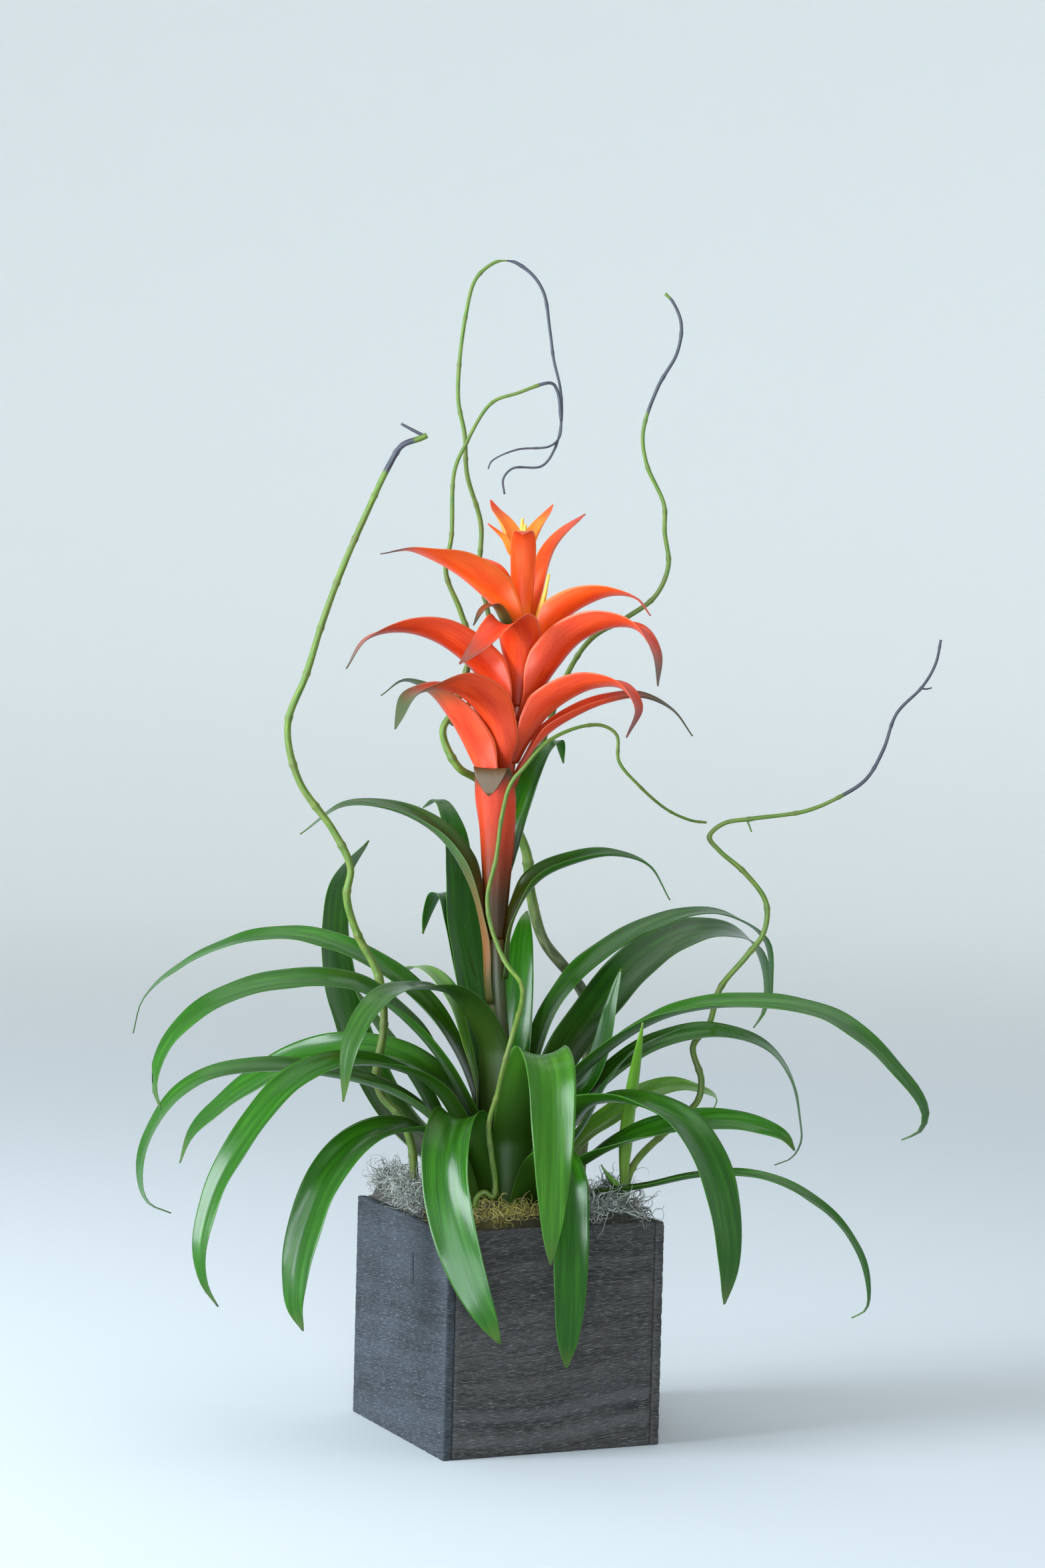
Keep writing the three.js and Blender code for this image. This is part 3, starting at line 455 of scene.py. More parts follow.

# %% [markdown]
# ## How leaves look
# Living leaves are never one green. They carry fine lengthwise veins, a paler rim a millimetre
# wide, and a tint that changes from the foot to the tip. The dark foot is partly the sheath's own
# olive brown and partly painted shade deep in the rosette. The gloss is high but not even: the
# veins break it into long streaks, which is why it is set here by the same pattern as the relief.

# %% Finish for green leaves


def leaf_finish(name, deep=(0.010, 0.074, 0.001), fresh=(0.026, 0.140, 0.004), foot=(0.020, 0.021, 0.002),
                rim=(0.07, 0.19, 0.02), tip=(0.07, 0.12, 0.02), foot_from=0.1, foot_ends=0.56,
                gloss=0.25, tip_from=0.93, root=(0.022, 0.018, 0.003)):
    material, tree, shader = new_finish(name, Specular_IOR_Level=0.3, IOR=1.45, Coat_Weight=0.12,
                                        Coat_Roughness=0.14)
    along, across, run, span, under = (trait(tree, t) for t in BLADE_TRAITS)
    fine = streaks(tree, span, 2.6, run, 0.010, 3.0, 0.55)
    broad = streaks(tree, span, 0.26, run, 0.014, 2.0, 0.5)
    cloud = streaks(tree, span, 0.07, run, 0.022, 2.0, 0.5, 4.0)
    pattern = plus(tree, times(tree, fine, 0.35), times(tree, broad, 0.65))
    colour = mixed(tree, scaled(tree, pattern, 0.38, 0.66), deep, fresh)
    colour = mixed(tree, scaled(tree, cloud, 0.38, 0.64, 0.0, 0.55), colour, deep)
    # foot and root darken the sheath: partly its own olive brown, partly painted shade deep in the rosette.
    colour = mixed(tree, scaled(tree, along, foot_from, foot_ends, 0.95, 0.0), colour, foot)
    colour = mixed(tree, scaled(tree, along, 0.02, 0.2, 0.85, 0.0), colour, root)
    colour = mixed(tree, scaled(tree, along, tip_from, 1.0, 0.0, 0.7), colour, tip)
    edge = maths(tree, "ABSOLUTE", across)
    colour = mixed(tree, scaled(tree, edge, 0.955, 0.995, 0.0, 0.6), colour, rim)
    colour = mixed(tree, times(tree, under, 0.3), colour, fresh)
    dullness = scaled(tree, fine, 0.3, 0.75, gloss - 0.04, gloss + 0.10)
    dullness = plus(tree, dullness, times(tree, under, 0.14))
    raised = relief(tree, broad, 0.2, 0.0008, relief(tree, fine, 0.15, 0.0001))
    set_look(tree, shader, colour, dullness, raised)
    return material


# %% [markdown]
# ## The rosette
# The leaves stand in a spiral, each sheath wrapped round the ones inside it. So the sheaths are
# laid from the inside out, and each is pushed out just far enough to clear those that it overlaps.
# A row holds the leaf's name, its compass angle, its width and its middle line from the sheath to
# the tip, as reach and height. A twin is a second, narrower blade that grows from the same sheath.

# %% Rosette leaves, from the innermost to the outermost
LEAVES = [
    ("leaf_upright_back", 80, 29, [(12, 215), (16, 245), (22, 272), (31, 298), (42, 320), (51, 332),
        (58, 336)]),
    ("leaf_tall_back", 125, 29, [(13, 200), (24, 245), (40, 280), (51, 306), (59, 332), (63, 362),
        (70, 390), (88, 408), (108, 402)]),
    ("leaf_folded_left", 225, 33, [(14, 190), (16, 235), (24, 263), (44, 285), (78, 294), (114, 290),
        (139, 263), (145, 226)]),
    ("leaf_right_high", 25, 27, [(14, 205), (20, 245), (34, 280), (64, 308), (105, 330), (150, 338),
        (189, 319), (196, 276)], dict(roll=8)),
    ("leaf_back_left_young", 142, 22, [(15, 198), (28, 243), (46, 278), (62, 293), (80, 298), (95, 291),
        (105, 277)]),
    ("leaf_left_thin", 160, 22, [(16, 190), (29, 235), (52, 268), (88, 296), (142, 315), (190, 312),
        (236, 292), (265, 267), (272, 243)], dict(roll=-24)),
    ("leaf_left_high", 197, 30, [(17, 182), (33, 222), (64, 263), (102, 290), (151, 294), (195, 283),
        (224, 260), (235, 232), (230, 213)], dict(roll=-20)),
    ("leaf_right_broad", 38, 36, [(18, 175), (30, 212), (49, 240), (74, 267), (102, 295), (140, 317),
        (184, 322), (213, 311), (225, 285), (223, 264), (214, 253)], dict(roll=22)),
    ("leaf_left_broad", 160, 28, [(22, 178), (36, 211), (69, 235), (108, 241), (146, 235), (178, 219),
        (206, 199), (227, 178), (235, 157)], dict(roll=-44, form=dict(taper=6))),
    ("leaf_right_long", 337, 28, [(19, 170), (30, 204), (59, 243), (107, 277), (166, 290), (224, 284),
        (266, 254), (284, 230), (281, 218), (269, 211)], dict(roll=14)),
    ("leaf_right_upright", 11, 16, [(26, 185), (39, 210), (54, 229), (62, 251), (69, 285), (74, 303)],
        dict(roll=50)),
    ("leaf_left_front", 213, 25, [(23, 165), (34, 199), (65, 232), (121, 246), (160, 236), (193, 205),
        (216, 169), (225, 132), (221, 112), (211, 97)], dict(roll=-18)),
    ("leaf_front_centre", 285, 34, [(20, 165), (33, 203), (55, 238), (80, 256), (100, 250), (112, 215),
        (117, 170), (116, 128)]),
    ("leaf_left_low", 190, 26, [(28, 164), (43, 196), (75, 220), (122, 233), (168, 236), (203, 228),
        (228, 204), (239, 170), (233, 149), (218, 142)], dict(roll=-14)),
    ("leaf_right_arched", 12, 28, [(24, 159), (35, 187), (62, 224), (99, 251), (142, 260), (176, 250),
        (193, 229), (200, 202), (201, 188), (195, 177), (183, 172)], dict(roll=14)),
    ("leaf_right_dark", 350, 12, [(28, 160), (40, 184), (53, 205), (65, 230), (80, 250), (97, 261),
        (112, 268)]),
    ("leaf_right_front", 315, 33, [(34, 160), (49, 195), (73, 220), (117, 227), (158, 217), (184, 190),
        (196, 155), (198, 132), (195, 111)], dict(form=dict(taper=8))),
    ("leaf_front_left", 236, 32, [(33, 165), (45, 190), (60, 211), (82, 197), (97, 172), (109, 140),
        (115, 118), (117, 98), (115, 78)], dict(sweep=34, form=dict(taper=6))),
    ("leaf_left_drooping", 220, 31, [(37, 157), (51, 184), (71, 200), (110, 200), (141, 181), (160, 150),
        (169, 117), (169, 96), (162, 81)], dict(roll=-12, form=dict(taper=7))),
    ("leaf_back_left_tall", 138, 35, [(36, 156), (72, 172), (106, 193), (133, 225), (154, 265), (163, 308),
        (158, 350), (132, 378)]),
    ("leaf_right_low", 330, 29, [(35, 152), (49, 171), (67, 185), (93, 199), (123, 210), (156, 217),
        (186, 216), (202, 211), (209, 203)], dict(roll=28)),
    ("leaf_right_yellow", 30, 18, [(30, 150), (42, 170), (61, 189), (83, 203), (106, 216), (132, 221),
        (152, 217), (164, 210), (160, 200)], dict(roll=30, form=dict(taper=6))),
    ("leaf_front_hanging", 292, 24, [(40, 152), (52, 170), (66, 183), (86, 190), (104, 180), (111, 150),
        (114, 105), (112, 62)], dict(form=dict(taper=9))),
    ("leaf_right_thin", 337, 13, [(38, 151), (60, 159), (97, 167), (138, 178), (181, 180), (220, 164),
        (243, 140), (251, 112), (249, 102), (240, 96)], dict(roll=10)),
]
TWINS = {
    "leaf_tall_back": (131, 18, [(24.4, 246), (36, 268), (50, 300), (60, 328), (68, 345), (77, 346),
        (86, 333), (91, 318)]),
    "leaf_back_left_tall": (143, 16, [(41, 158), (52, 182), (66, 208), (90, 236), (113, 260), (132, 280)]),
}
YOUNG = dict(deep=(0.07, 0.22, 0.015), fresh=(0.17, 0.38, 0.03), foot=(0.14, 0.22, 0.03),
             rim=(0.28, 0.42, 0.07))
# LIT and the look of leaf_front_centre are lighter copies of the leaf colours: painted light. The near-black
# foot of leaf_front_centre is painted shade in the rosette's middle, and the darker copy for
# leaf_right_broad is painted shade that offsets the wall's pale reflection on it.
LIT = dict(deep=(0.018, 0.10, 0.004), fresh=(0.045, 0.19, 0.010))
LEAF_LOOKS = {
    "leaf_right_yellow": YOUNG,
    "leaf_back_left_young": YOUNG,
    "leaf_front_centre": dict(deep=(0.030, 0.130, 0.006), fresh=(0.060, 0.220, 0.012),
        foot=(0.010, 0.014, 0.001), foot_from=0.24, foot_ends=0.62),
    "leaf_right_broad": dict(deep=(0.006, 0.050, 0.001), fresh=(0.020, 0.115, 0.004)),
    "leaf_folded_left": dict(deep=(0.014, 0.060, 0.004), fresh=(0.030, 0.110, 0.010),
        foot=(0.026, 0.022, 0.002), foot_from=0.25, foot_ends=0.75),
    "stem_leaf_left": dict(deep=(0.022, 0.062, 0.014), fresh=(0.045, 0.105, 0.020),
        foot=(0.28, 0.052, 0.012), foot_ends=0.5),
    "stem_leaf_right": dict(foot=(0.09, 0.06, 0.008)),
    "leaf_back_left_tall": LIT,
}


def nested_radii():
    placed = []
    for entry in LEAVES:
        azimuth, base = math.radians(entry[1]), entry[2]
        radius = float((stem_radius(LEAF_FOOT) + STEM_CLEAR + LEAF_THICK) / FLAT_SHARE)
        for _ in range(4):
            for other, inner, inner_base in placed:
                wrap = min(base / 2 / radius, WRAP_MOST)
                reach = wrap + min(inner_base / 2 / inner, WRAP_MOST) + 0.1
                flat = math.cos(wrap / LEAF_FORM["strips"])
                apart = abs((azimuth - other + math.pi) % (2 * math.pi) - math.pi)
                if apart < reach:
                    radius = max(radius, (inner + SHEATH_STEP) / flat)
        placed.append((azimuth, radius, base))
    return [radius for _, radius, _ in placed]


def rosette_blade(azimuth, width, base, points, extras=None):
    extras = dict(extras or {})
    form = {**LEAF_FORM, **extras.pop("form", {})}
    return dict(azimuth=azimuth, width=width, base=base, points=points, form=form,
                axis=lambda height, t: (ROSETTE[0], ROSETTE[1]), **extras)


for (name, azimuth, width, points, *extras), radius in zip(LEAVES, nested_radii()):
    main = blade_mesh(rosette_blade(azimuth, width, width, [(radius, LEAF_FOOT), *points],
                                    extras[0] if extras else None), crease=0.25, wave=0.25)
    if name in TWINS:
        twin_azimuth, twin_width, twin_points = TWINS[name]
        main = joined([main, blade_mesh(rosette_blade(twin_azimuth, twin_width, 8, twin_points),
                                        crease=0.2)])
    mesh_points, faces, traits = main
    make_piece(name + "_fine", in_part_frame(mesh_points), faces,
               [leaf_finish(name, **LEAF_LOOKS.get(name, {}))], name, traits, BLADE_TRAITS)
print(len(LEAVES), "rosette leaves")

# %% [markdown]
# ## Stem leaves and bracts
# The red parts of a bromeliad aren't petals. They are bracts, leaves that have turned to colour
# to call in pollinators, so they share the leaf's shape, only shorter and set on the flower stem.
# Their red darkens at the foot, partly their own colour and partly painted shade of the axil, and many
# have dried to brown or green at the tip. A row below is a leaf's row with the height of the foot on
# the stem, and it ends with the finish's own colours.

# %% Finish for coloured bracts


def bract_finish(name, body=(0.56, 0.028, 0.004), bright=(0.80, 0.076, 0.014), foot=(0.30, 0.022, 0.004),
                 outer=(0.40, 0.028, 0.014), tip=(0.06, 0.04, 0.02), rim=(0.88, 0.20, 0.08), tip_from=0.8,
                 tip_full=0.97, foot_from=0.0, foot_ends=0.3, gloss=0.34):
    material, tree, shader = new_finish(name, Specular_IOR_Level=0.28, IOR=1.45, Coat_Weight=0.08,
                                        Coat_Roughness=0.2)
    along, across, run, span, under = (trait(tree, t) for t in BLADE_TRAITS)
    fine = streaks(tree, span, 1.9, run, 0.02, 3.0, 0.6)
    broad = streaks(tree, span, 0.16, run, 0.03, 2.0, 0.5)
    edge = maths(tree, "ABSOLUTE", across)
    colour = mixed(tree, scaled(tree, plus(tree, times(tree, fine, 0.4),
                                            times(tree, broad, 0.6)), 0.35, 0.7), body, bright)
    colour = mixed(tree, scaled(tree, edge, 0.5, 1.0, 0.0, 0.35), colour, bright)
    colour = mixed(tree, scaled(tree, along, 0.45, 0.95, 0.0, 0.6), colour, outer)
    colour = mixed(tree, scaled(tree, edge, 0.93, 0.99, 0.0, 0.45), colour, rim)
    # The foot colour tints the base. Where it is dark, it is partly the bract's own colour and partly
    # painted shade in the axil.
    colour = mixed(tree, scaled(tree, along, foot_from, foot_ends, 0.97, 0.0), colour, foot)
    ragged = plus(tree, along, times(tree, minus(tree, fine, 0.5), 0.12))
    ragged = plus(tree, ragged, times(tree, maths(tree, "POWER", edge, 3.0), 0.05))
    colour = mixed(tree, scaled(tree, ragged, tip_from, tip_full, 0.0, 0.97), colour, tip)
    set_look(tree, shader, colour, scaled(tree, fine, 0.3, 0.75, gloss - 0.05, gloss + 0.14),
             relief(tree, broad, 0.3, 0.0012, relief(tree, fine, 0.3, 0.00016)))
    return material


# %% Stem leaves and bracts, from the lowest to the highest
ORANGE = dict(body=(0.80, 0.064, 0.006), bright=(0.90, 0.130, 0.014), foot=(0.88, 0.22, 0.016),
              outer=(0.72, 0.06, 0.016), rim=(0.92, 0.26, 0.05), tip=(0.5, 0.05, 0.02))
BRACTS = [
    ("stem_leaf_left", 172, 22, 280, [(10, 325), (20, 359), (40, 388), (70, 404), (104, 406), (133, 386)],
     dict(roll=-14), None),
    ("stem_leaf_right", 20, 18, 296, [(11, 335), (28, 360), (53, 372), (80, 377), (106, 370), (122, 347)],
     dict(roll=12), None),
    # The tube's near-black foot over its lower half is partly its own brown green, partly painted shade
    # round the stem.
    ("bract_tube", 255, 33, 322, [(8, 350), (11, 385), (14.5, 412), (18, 430), (21.5, 434), (24, 428),
        (25, 416)],
     dict(base=14, form=dict(taper=7, strips=5)), dict(body=(0.48, 0.026, 0.004),
          bright=(0.66, 0.060, 0.012), tip=(0.075, 0.046, 0.016), tip_from=0.72, tip_full=0.86,
          foot=(0.022, 0.015, 0.001), foot_from=0.16, foot_ends=0.74)),
    ("stem_leaf_hooked", 46, 22, 352, [(12, 378), (18, 394), (25, 409), (32, 426), (41, 444), (54, 451),
        (60, 436)],
     dict(base=7), None),
    ("bract_low_left", 188, 31, 405, [(13, 420), (20, 434), (29, 452), (39, 468), (52, 482), (69, 489),
        (84, 479)],
     dict(lean=20), dict(tip=(0.035, 0.085, 0.03), tip_from=0.5, tip_full=0.85)),
    ("bract_long_right", 8, 15, 420, [(11, 439), (24, 456), (43, 469), (63, 478), (86, 482), (107, 474),
        (121, 457)],
     dict(roll=14), dict(tip=(0.04, 0.035, 0.012), tip_from=0.55, tip_full=0.8)),
    ("bract_low_front_left", 221, 32, 428, [(12, 446), (18, 461), (29, 474), (47, 483), (68, 484),
        (87, 479), (98, 459)],
     dict(lean=14), dict(tip=(0.04, 0.075, 0.03), tip_from=0.56, tip_full=0.9)),
    ("bract_low_right", 336, 28, 437, [(11, 451), (20, 466), (36, 479), (56, 488), (76, 488), (87, 475),
        (80, 456)],
     dict(lean=-12), dict(tip=(0.18, 0.03, 0.02), tip_from=0.78)),
    ("bract_middle_left", 197, 30, 455, [(11, 470), (20, 488), (36, 504), (57, 517), (80, 521), (103, 515),
        (116, 496)],
     dict(lean=26), dict(tip=(0.08, 0.07, 0.045), tip_from=0.72, tip_full=1.0)),
    ("bract_middle_front", 268, 30, 474, [(7.5, 488), (12, 505), (20, 519), (32, 527), (44, 523), (54, 512),
        (60, 501)],
     dict(sweep=-40, form=dict(strips=5, broad=0.35)), dict(tip=(0.14, 0.04, 0.025), tip_from=0.75,
          tip_full=1.0)),
    ("bract_middle_right", 332, 30, 465, [(12, 480), (24, 500), (40, 517), (62, 527), (84, 526), (98, 511),
        (100, 490)],
     dict(lean=-16), dict(tip=(0.09, 0.07, 0.045), tip_from=0.78, tip_full=1.0)),
    ("bract_dark_small", 225, 12, 486, [(8, 503), (12.5, 518), (20, 531), (28, 539), (38, 536), (46, 526)],
     dict(base=6), dict(body=(0.05, 0.07, 0.02), bright=(0.09, 0.13, 0.03), tip=(0.04, 0.04, 0.02),
          rim=(0.12, 0.14, 0.05))),
    ("bract_upper_right", 347, 27, 492, [(9, 508), (17, 522), (28, 534), (42, 543), (58, 548), (74, 546),
        (84, 535)],
     dict(base=9, lean=-24), ORANGE),
    ("bract_upper_left", 208, 29, 511, [(9, 524), (17, 537), (31, 549), (47, 560), (65, 568), (84, 573),
        (104, 570)],
     dict(base=9, lean=20), {**ORANGE, "tip": (0.10, 0.06, 0.05), "tip_from": 0.82}),
    ("bract_upper_front", 270, 18, 526, [(6, 538), (8, 552), (11, 566), (14.5, 578), (20, 585), (27, 587),
        (33, 585)],
     dict(form=dict(taper=7, broad=0.35)), ORANGE),
    ("bract_upper_back", 152, 21, 515, [(9, 534), (13, 545), (18, 555), (24, 563), (32, 568), (41, 570),
        (50, 569)],
     dict(base=8, form=dict(broad=0.35)), ORANGE),
    ("bract_upright_right", 42, 20, 518, [(10, 540), (14, 552), (19, 565), (27, 580), (39, 592), (53, 601)],
     dict(base=7, lean=-16, form=dict(broad=0.35)), ORANGE),
]


def stem_blade(azimuth, width, foot, points, extras=None):
    extras = dict(extras or {})
    form = {**BRACT_FORM, **extras.pop("form", {})}
    room = float(stem_radius(foot)) + BRACT_CLEAR
    base = extras.pop("base", min(width, 2.9 * room))
    radius = room / math.cos(base / (2 * form["strips"] * room))
    reach_top = foot + 20
    return dict(azimuth=azimuth, width=width, base=base, form=form, points=[(radius, foot), *points],
                axis=lambda height, t: stem_at(np.where(t > 0.3, reach_top, np.minimum(height, reach_top))),
                **extras)


for name, azimuth, width, foot, points, extras, look in BRACTS:
    blade = stem_blade(azimuth, width, foot, points, extras)
    mesh_points, faces, traits = blade_mesh(blade, steps=72, crease=0.15, wave=0.15)
    finish = leaf_finish(name, **LEAF_LOOKS.get(name, {})) if look is None else bract_finish(name, **look)
    make_piece(name + "_fine", in_part_frame(mesh_points), faces, [finish], name, traits, BLADE_TRAITS)
print(len(BRACTS), "stem leaves and bracts")

# %% [markdown]
# ## The flower stem and its crown
# The stem carries everything above the rosette. It is red where the light reaches it and brown
# green lower down. The true flowers are the small yellow spindles that stand in the bracts.

# %% Stem, crown bracts and florets


def floret_route(azimuth, foot, reach, tip):
    x, y = stem_at(foot)
    turn = math.radians(azimuth)
    out = np.array([0.5 * 0.2, 0.55, 0.85, 1.0]) * reach
    rise = np.array([0.0, 0.4, 0.75, 1.0])
    return np.stack([x + out * math.cos(turn), y + out * math.sin(turn), foot + (tip - foot) * rise], -1)


def spindle(route, thickness, shape, sides=14, steps=28):
    t = np.linspace(0, 1, steps + 1)
    ridges = lambda share, angle: 1 + 0.07 * np.cos(3 * angle + 0.6) * np.sin(np.pi * share)
    return tube(even_spline(route, t), thickness * shape(t), sides, ridges)


def stalk_finish(name, low, high, changes, spread=60, gloss=0.42):
    """A stem's finish: its colour runs from low to high round a height in millimetres."""
    material, tree, shader = new_finish(name, Specular_IOR_Level=0.4, Coat_Weight=0.1, Coat_Roughness=0.3)
    height = trait(tree, "height")
    run, around = trait(tree, "run"), trait(tree, "around")
    fine = streaks(tree, around, 26.0, run, 0.03, 3.0, 0.6)
    colour = mixed(tree, scaled(tree, height, changes - spread, changes + spread), low, high)
    colour = mixed(tree, scaled(tree, fine, 0.4, 0.75, 0.0, 0.4), colour, (0.12, 0.10, 0.03))
    set_look(tree, shader, colour, scaled(tree, fine, 0.3, 0.7, gloss - 0.06, gloss + 0.12),
             relief(tree, fine, 0.4, 0.0003))
    return material


def floret_finish(name, low=(0.75, 0.42, 0.04), high=(0.95, 0.62, 0.05)):
    material, tree, shader = new_finish(name, Specular_IOR_Level=0.4, Coat_Weight=0.1, Coat_Roughness=0.3)
    run, around = trait(tree, "run"), trait(tree, "around")
    fine = streaks(tree, around, 14.0, run, 0.08, 3.0, 0.6)
    colour = mixed(tree, scaled(tree, fine, 0.3, 0.7), low, high)
    set_look(tree, shader, colour, scaled(tree, fine, 0.3, 0.7, 0.38, 0.52), relief(tree, fine, 0.4, 0.0002))
    return material


STEM_TRAITS = ("run", "around", "height")


def with_height(part):
    points, faces, traits = part
    return points, faces, np.hstack([traits, points[:, 2:]])


t = np.linspace(0, 1, 140)
stem_parts = [with_height(tube(even_spline(STEM, t), stem_radius(STEM_FOOT + (STEM_TOP - STEM_FOOT) * t),
                               20))]
bud = lambda t: 0.45 + 0.55 * np.sin(np.pi * np.minimum(t * 1.15, 1))
AXIL_FLORETS = ((334, 508, 17, 560, 2.2), (338, 505, 21, 543, 1.9), (175, 530, 12, 556, 1.7))
floret_parts = [with_height(spindle(floret_route(azimuth, foot, reach, tip), thick, bud))
                for azimuth, foot, reach, tip, thick in AXIL_FLORETS]
points, faces, traits = joined(stem_parts + floret_parts)
stem_count = len(stem_parts[0][1])
finish_index = np.array([0] * stem_count + [1] * (len(faces) - stem_count), np.int32)
make_piece("flower_stem_fine", in_part_frame(points), faces,
           [stalk_finish("stem", (0.035, 0.05, 0.010), (0.45, 0.045, 0.015), 350),
            floret_finish("stem florets")], "flower_stem", traits, STEM_TRAITS, finish_index)

CROWN = [
    (140, 16, [(8, 574), (12, 584), (17, 594), (23, 602), (27, 608)]),
    (205, 8, [(8, 573), (13, 582), (19, 588), (24, 592)]),
    (45, 12, [(7, 572), (11, 582), (16, 591), (22, 599), (28, 606)]),
]
crown_x, crown_y = (float(v) for v in stem_at(STEM_TOP - 0.01))
crown_form = {**BRACT_FORM, "wrap_from": 4, "wrap_to": 9}
crown_parts = []
for azimuth, width, points in CROWN:
    crown_parts.append(blade_mesh(dict(
        azimuth=azimuth, width=width, base=5, points=[(2.4, STEM_TOP + 2), *points], form=crown_form,
        axis=lambda height, t: (crown_x, crown_y)), steps=48, columns=12, crease=0.1))
crown_post = post(crown_x, crown_y, [STEM_TOP + rise for rise in (0.3, 2, 5, 7)], (3.1, 3.4, 3.4, 3.0), 16,
                  20)
points, faces, traits = joined(crown_parts + [crown_post])
CROWN_LOOK = dict(body=(0.90, 0.17, 0.016), bright=(0.95, 0.33, 0.035), foot=(0.93, 0.40, 0.04),
                  outer=(0.85, 0.09, 0.012), tip=(0.80, 0.07, 0.012), rim=(0.92, 0.20, 0.03), tip_from=0.6)
make_piece("crown_bracts_fine", in_part_frame(points), faces, [bract_finish("crown", **CROWN_LOOK)],
           "crown_bracts", traits, BLADE_TRAITS)

crown_florets = [tube(np.array([[crown_x, crown_y, z] for z in (573.3, 574, 575, 575.5)]),
                      np.array([2.3, 2.6, 2.6, 2.2]), 16)]
for azimuth, reach, tip, thick in ((200, 2.2, 588, 2.4), (330, 2.6, 592, 2.2), (80, 1.6, 596, 2)):
    turn = math.radians(azimuth)
    route = [(crown_x + reach * share * math.cos(turn), crown_y + reach * share * math.sin(turn), z)
             for share, z in ((0.3, 574), (0.8, (574 + tip) / 2), (1, tip))]
    crown_florets.append(spindle(route, thick, lambda t: 0.35 + 0.65 * np.sin(
        np.pi * np.minimum(0.2 + t * 0.78, 0.98))))
points, faces, traits = joined([with_height(part) for part in crown_florets])
make_piece("crown_florets_fine", in_part_frame(points), faces, [floret_finish("crown florets")],
           "crown_florets", traits, STEM_TRAITS)
print("stem, crown and", len(floret_parts) + len(crown_florets) - 1, "florets")

# %% [markdown]
# ## Vines
# Lengths of curly vine add height. The bark is smooth and olive green, with a slight swelling at
# each bud, and the ends that have dried turn slate grey.

# %% Vine stems
VINE_LEFT = [(-62, 6, 85), (-62, 6, 150), (-65, 6, 184), (-72, 6, 202), (-85, 6, 216), (-89, 6, 230),
    (-85, 6, 260), (-87, 6, 287), (-93, 6, 303), (-104, 4, 323), (-111, 0, 347), (-109, 0, 366),
    (-121, 0, 390), (-144, 0, 422), (-152, 0, 458), (-141, 0, 490), (-131, 0, 525), (-119, 0, 560),
    (-103, 0, 599), (-90, 0, 628), (-82, 0, 641), (-70, 0, 646), (-66, 0, 648)]
VINE_LEFT_TWIG = [(-67, 0, 647), (-75, 0, 651), (-83, 0, 655)]
VINE_FRONT = [(-20, -62, 85), (-20, -62, 149), (-21, -62, 160), (-16, -62, 165), (-10, -62, 162),
    (-9, -62, 170), (-12, -64, 190), (-14, -66, 208), (-9, -73, 230), (-5, -82, 250), (0, -82, 270),
    (5, -62, 288), (4, -42, 297), (-7, -24, 310), (-16, -20, 331), (-19, -20, 350), (-14, -22, 376),
    (-11, -25, 403), (-6, -29, 424), (3, -31, 436), (17, -28, 452), (38, -20, 462), (53, -15, 463),
    (62, -13, 457), (64, -10, 440), (78, -4, 424), (96, 10, 409), (113, 28, 401), (124, 42, 399)]
VINE_RIGHT = [(75, -10, 85), (75, -10, 125), (75, -10, 153), (81, 3, 175), (112, 34, 202), (124, 42, 214),
    (126, 45, 227), (120, 48, 249), (130, 50, 263), (137, 50, 288), (154, 50, 310), (165, 50, 326),
    (166, 50, 346), (152, 50, 365), (134, 50, 380), (127, 50, 389), (136, 50, 398), (156, 50, 402),
    (191, 50, 408), (213, 50, 418), (230, 50, 430), (241, 50, 450), (249, 50, 474), (266, 50, 493),
    (274, 50, 508), (277, 50, 524)]
VINE_RIGHT_TWIGS = [
    [(151, 50, 402), (153, 50, 398), (155, 50, 393)],
    [(264, 50, 492), (268, 50, 491), (272, 50, 492)],
]
VINE_BACK = [(46, 47, 85), (46, 47, 125), (46, 47, 155), (49, 61, 195), (50, 69, 225), (51, 72, 265),
    (46, 68, 281), (35, 50, 297), (18, 40, 319), (9, 36, 350), (5, 36, 378), (-8, 34, 402), (-27, 24, 424),
    (-40, 15, 432), (-50, 15, 449), (-51, 15, 458), (-45, 16, 469), (-39, 20, 487), (-35, 22, 513),
    (-42, 22, 535), (-52, 20, 560), (-49, 20, 583), (-48, 20, 626), (-41, 20, 644), (-25, 20, 671),
    (-8, 20, 678), (14, 20, 685), (18, 21, 680), (21, 22, 661)]
VINE_BACK_LOOP = [(-46, 15, 461), (-36, 22, 472), (-25, 28, 497), (-22, 32, 522), (-30, 36, 562),
    (-30, 36, 592), (-40, 30, 625), (-42, 27, 650), (-47, 26, 675), (-43, 26, 730), (-36, 26, 754),
    (-19, 26, 765), (-3, 26, 758), (7, 26, 745), (12, 26, 720), (15, 26, 701), (20, 25, 681), (21, 23, 660),
    (17, 23, 642), (9, 24, 631), (-10, 24, 629), (-16, 24, 622), (-15, 24, 612)]
VINE_BACK_TWIG = [(21, 22, 663), (20, 22, 650), (14, 21, 644), (-8, 20, 641), (-24, 20, 633), (-26, 20, 628)]
VINE_BACK_RIGHT = [(0, 35, 390), (8, 41, 425), (19, 44, 464), (32, 40, 500), (46, 34, 520), (67, 30, 533),
    (86, 30, 548), (94, 30, 568), (91, 30, 590), (90, 30, 608), (78, 30, 634), (75, 30, 655), (84, 30, 685),
    (96, 30, 708), (98, 30, 727), (92, 30, 741), (87, 30, 746)]

VINE_TRAITS = ("run", "around", "dark", "bud")
BUD_EVERY = 31.0
BUD_LENGTH = 1.6
BUD_SWELL = 0.22
NO_BUDS_FROM = 3.5
SOIL_TO_AIR = (130, 145)


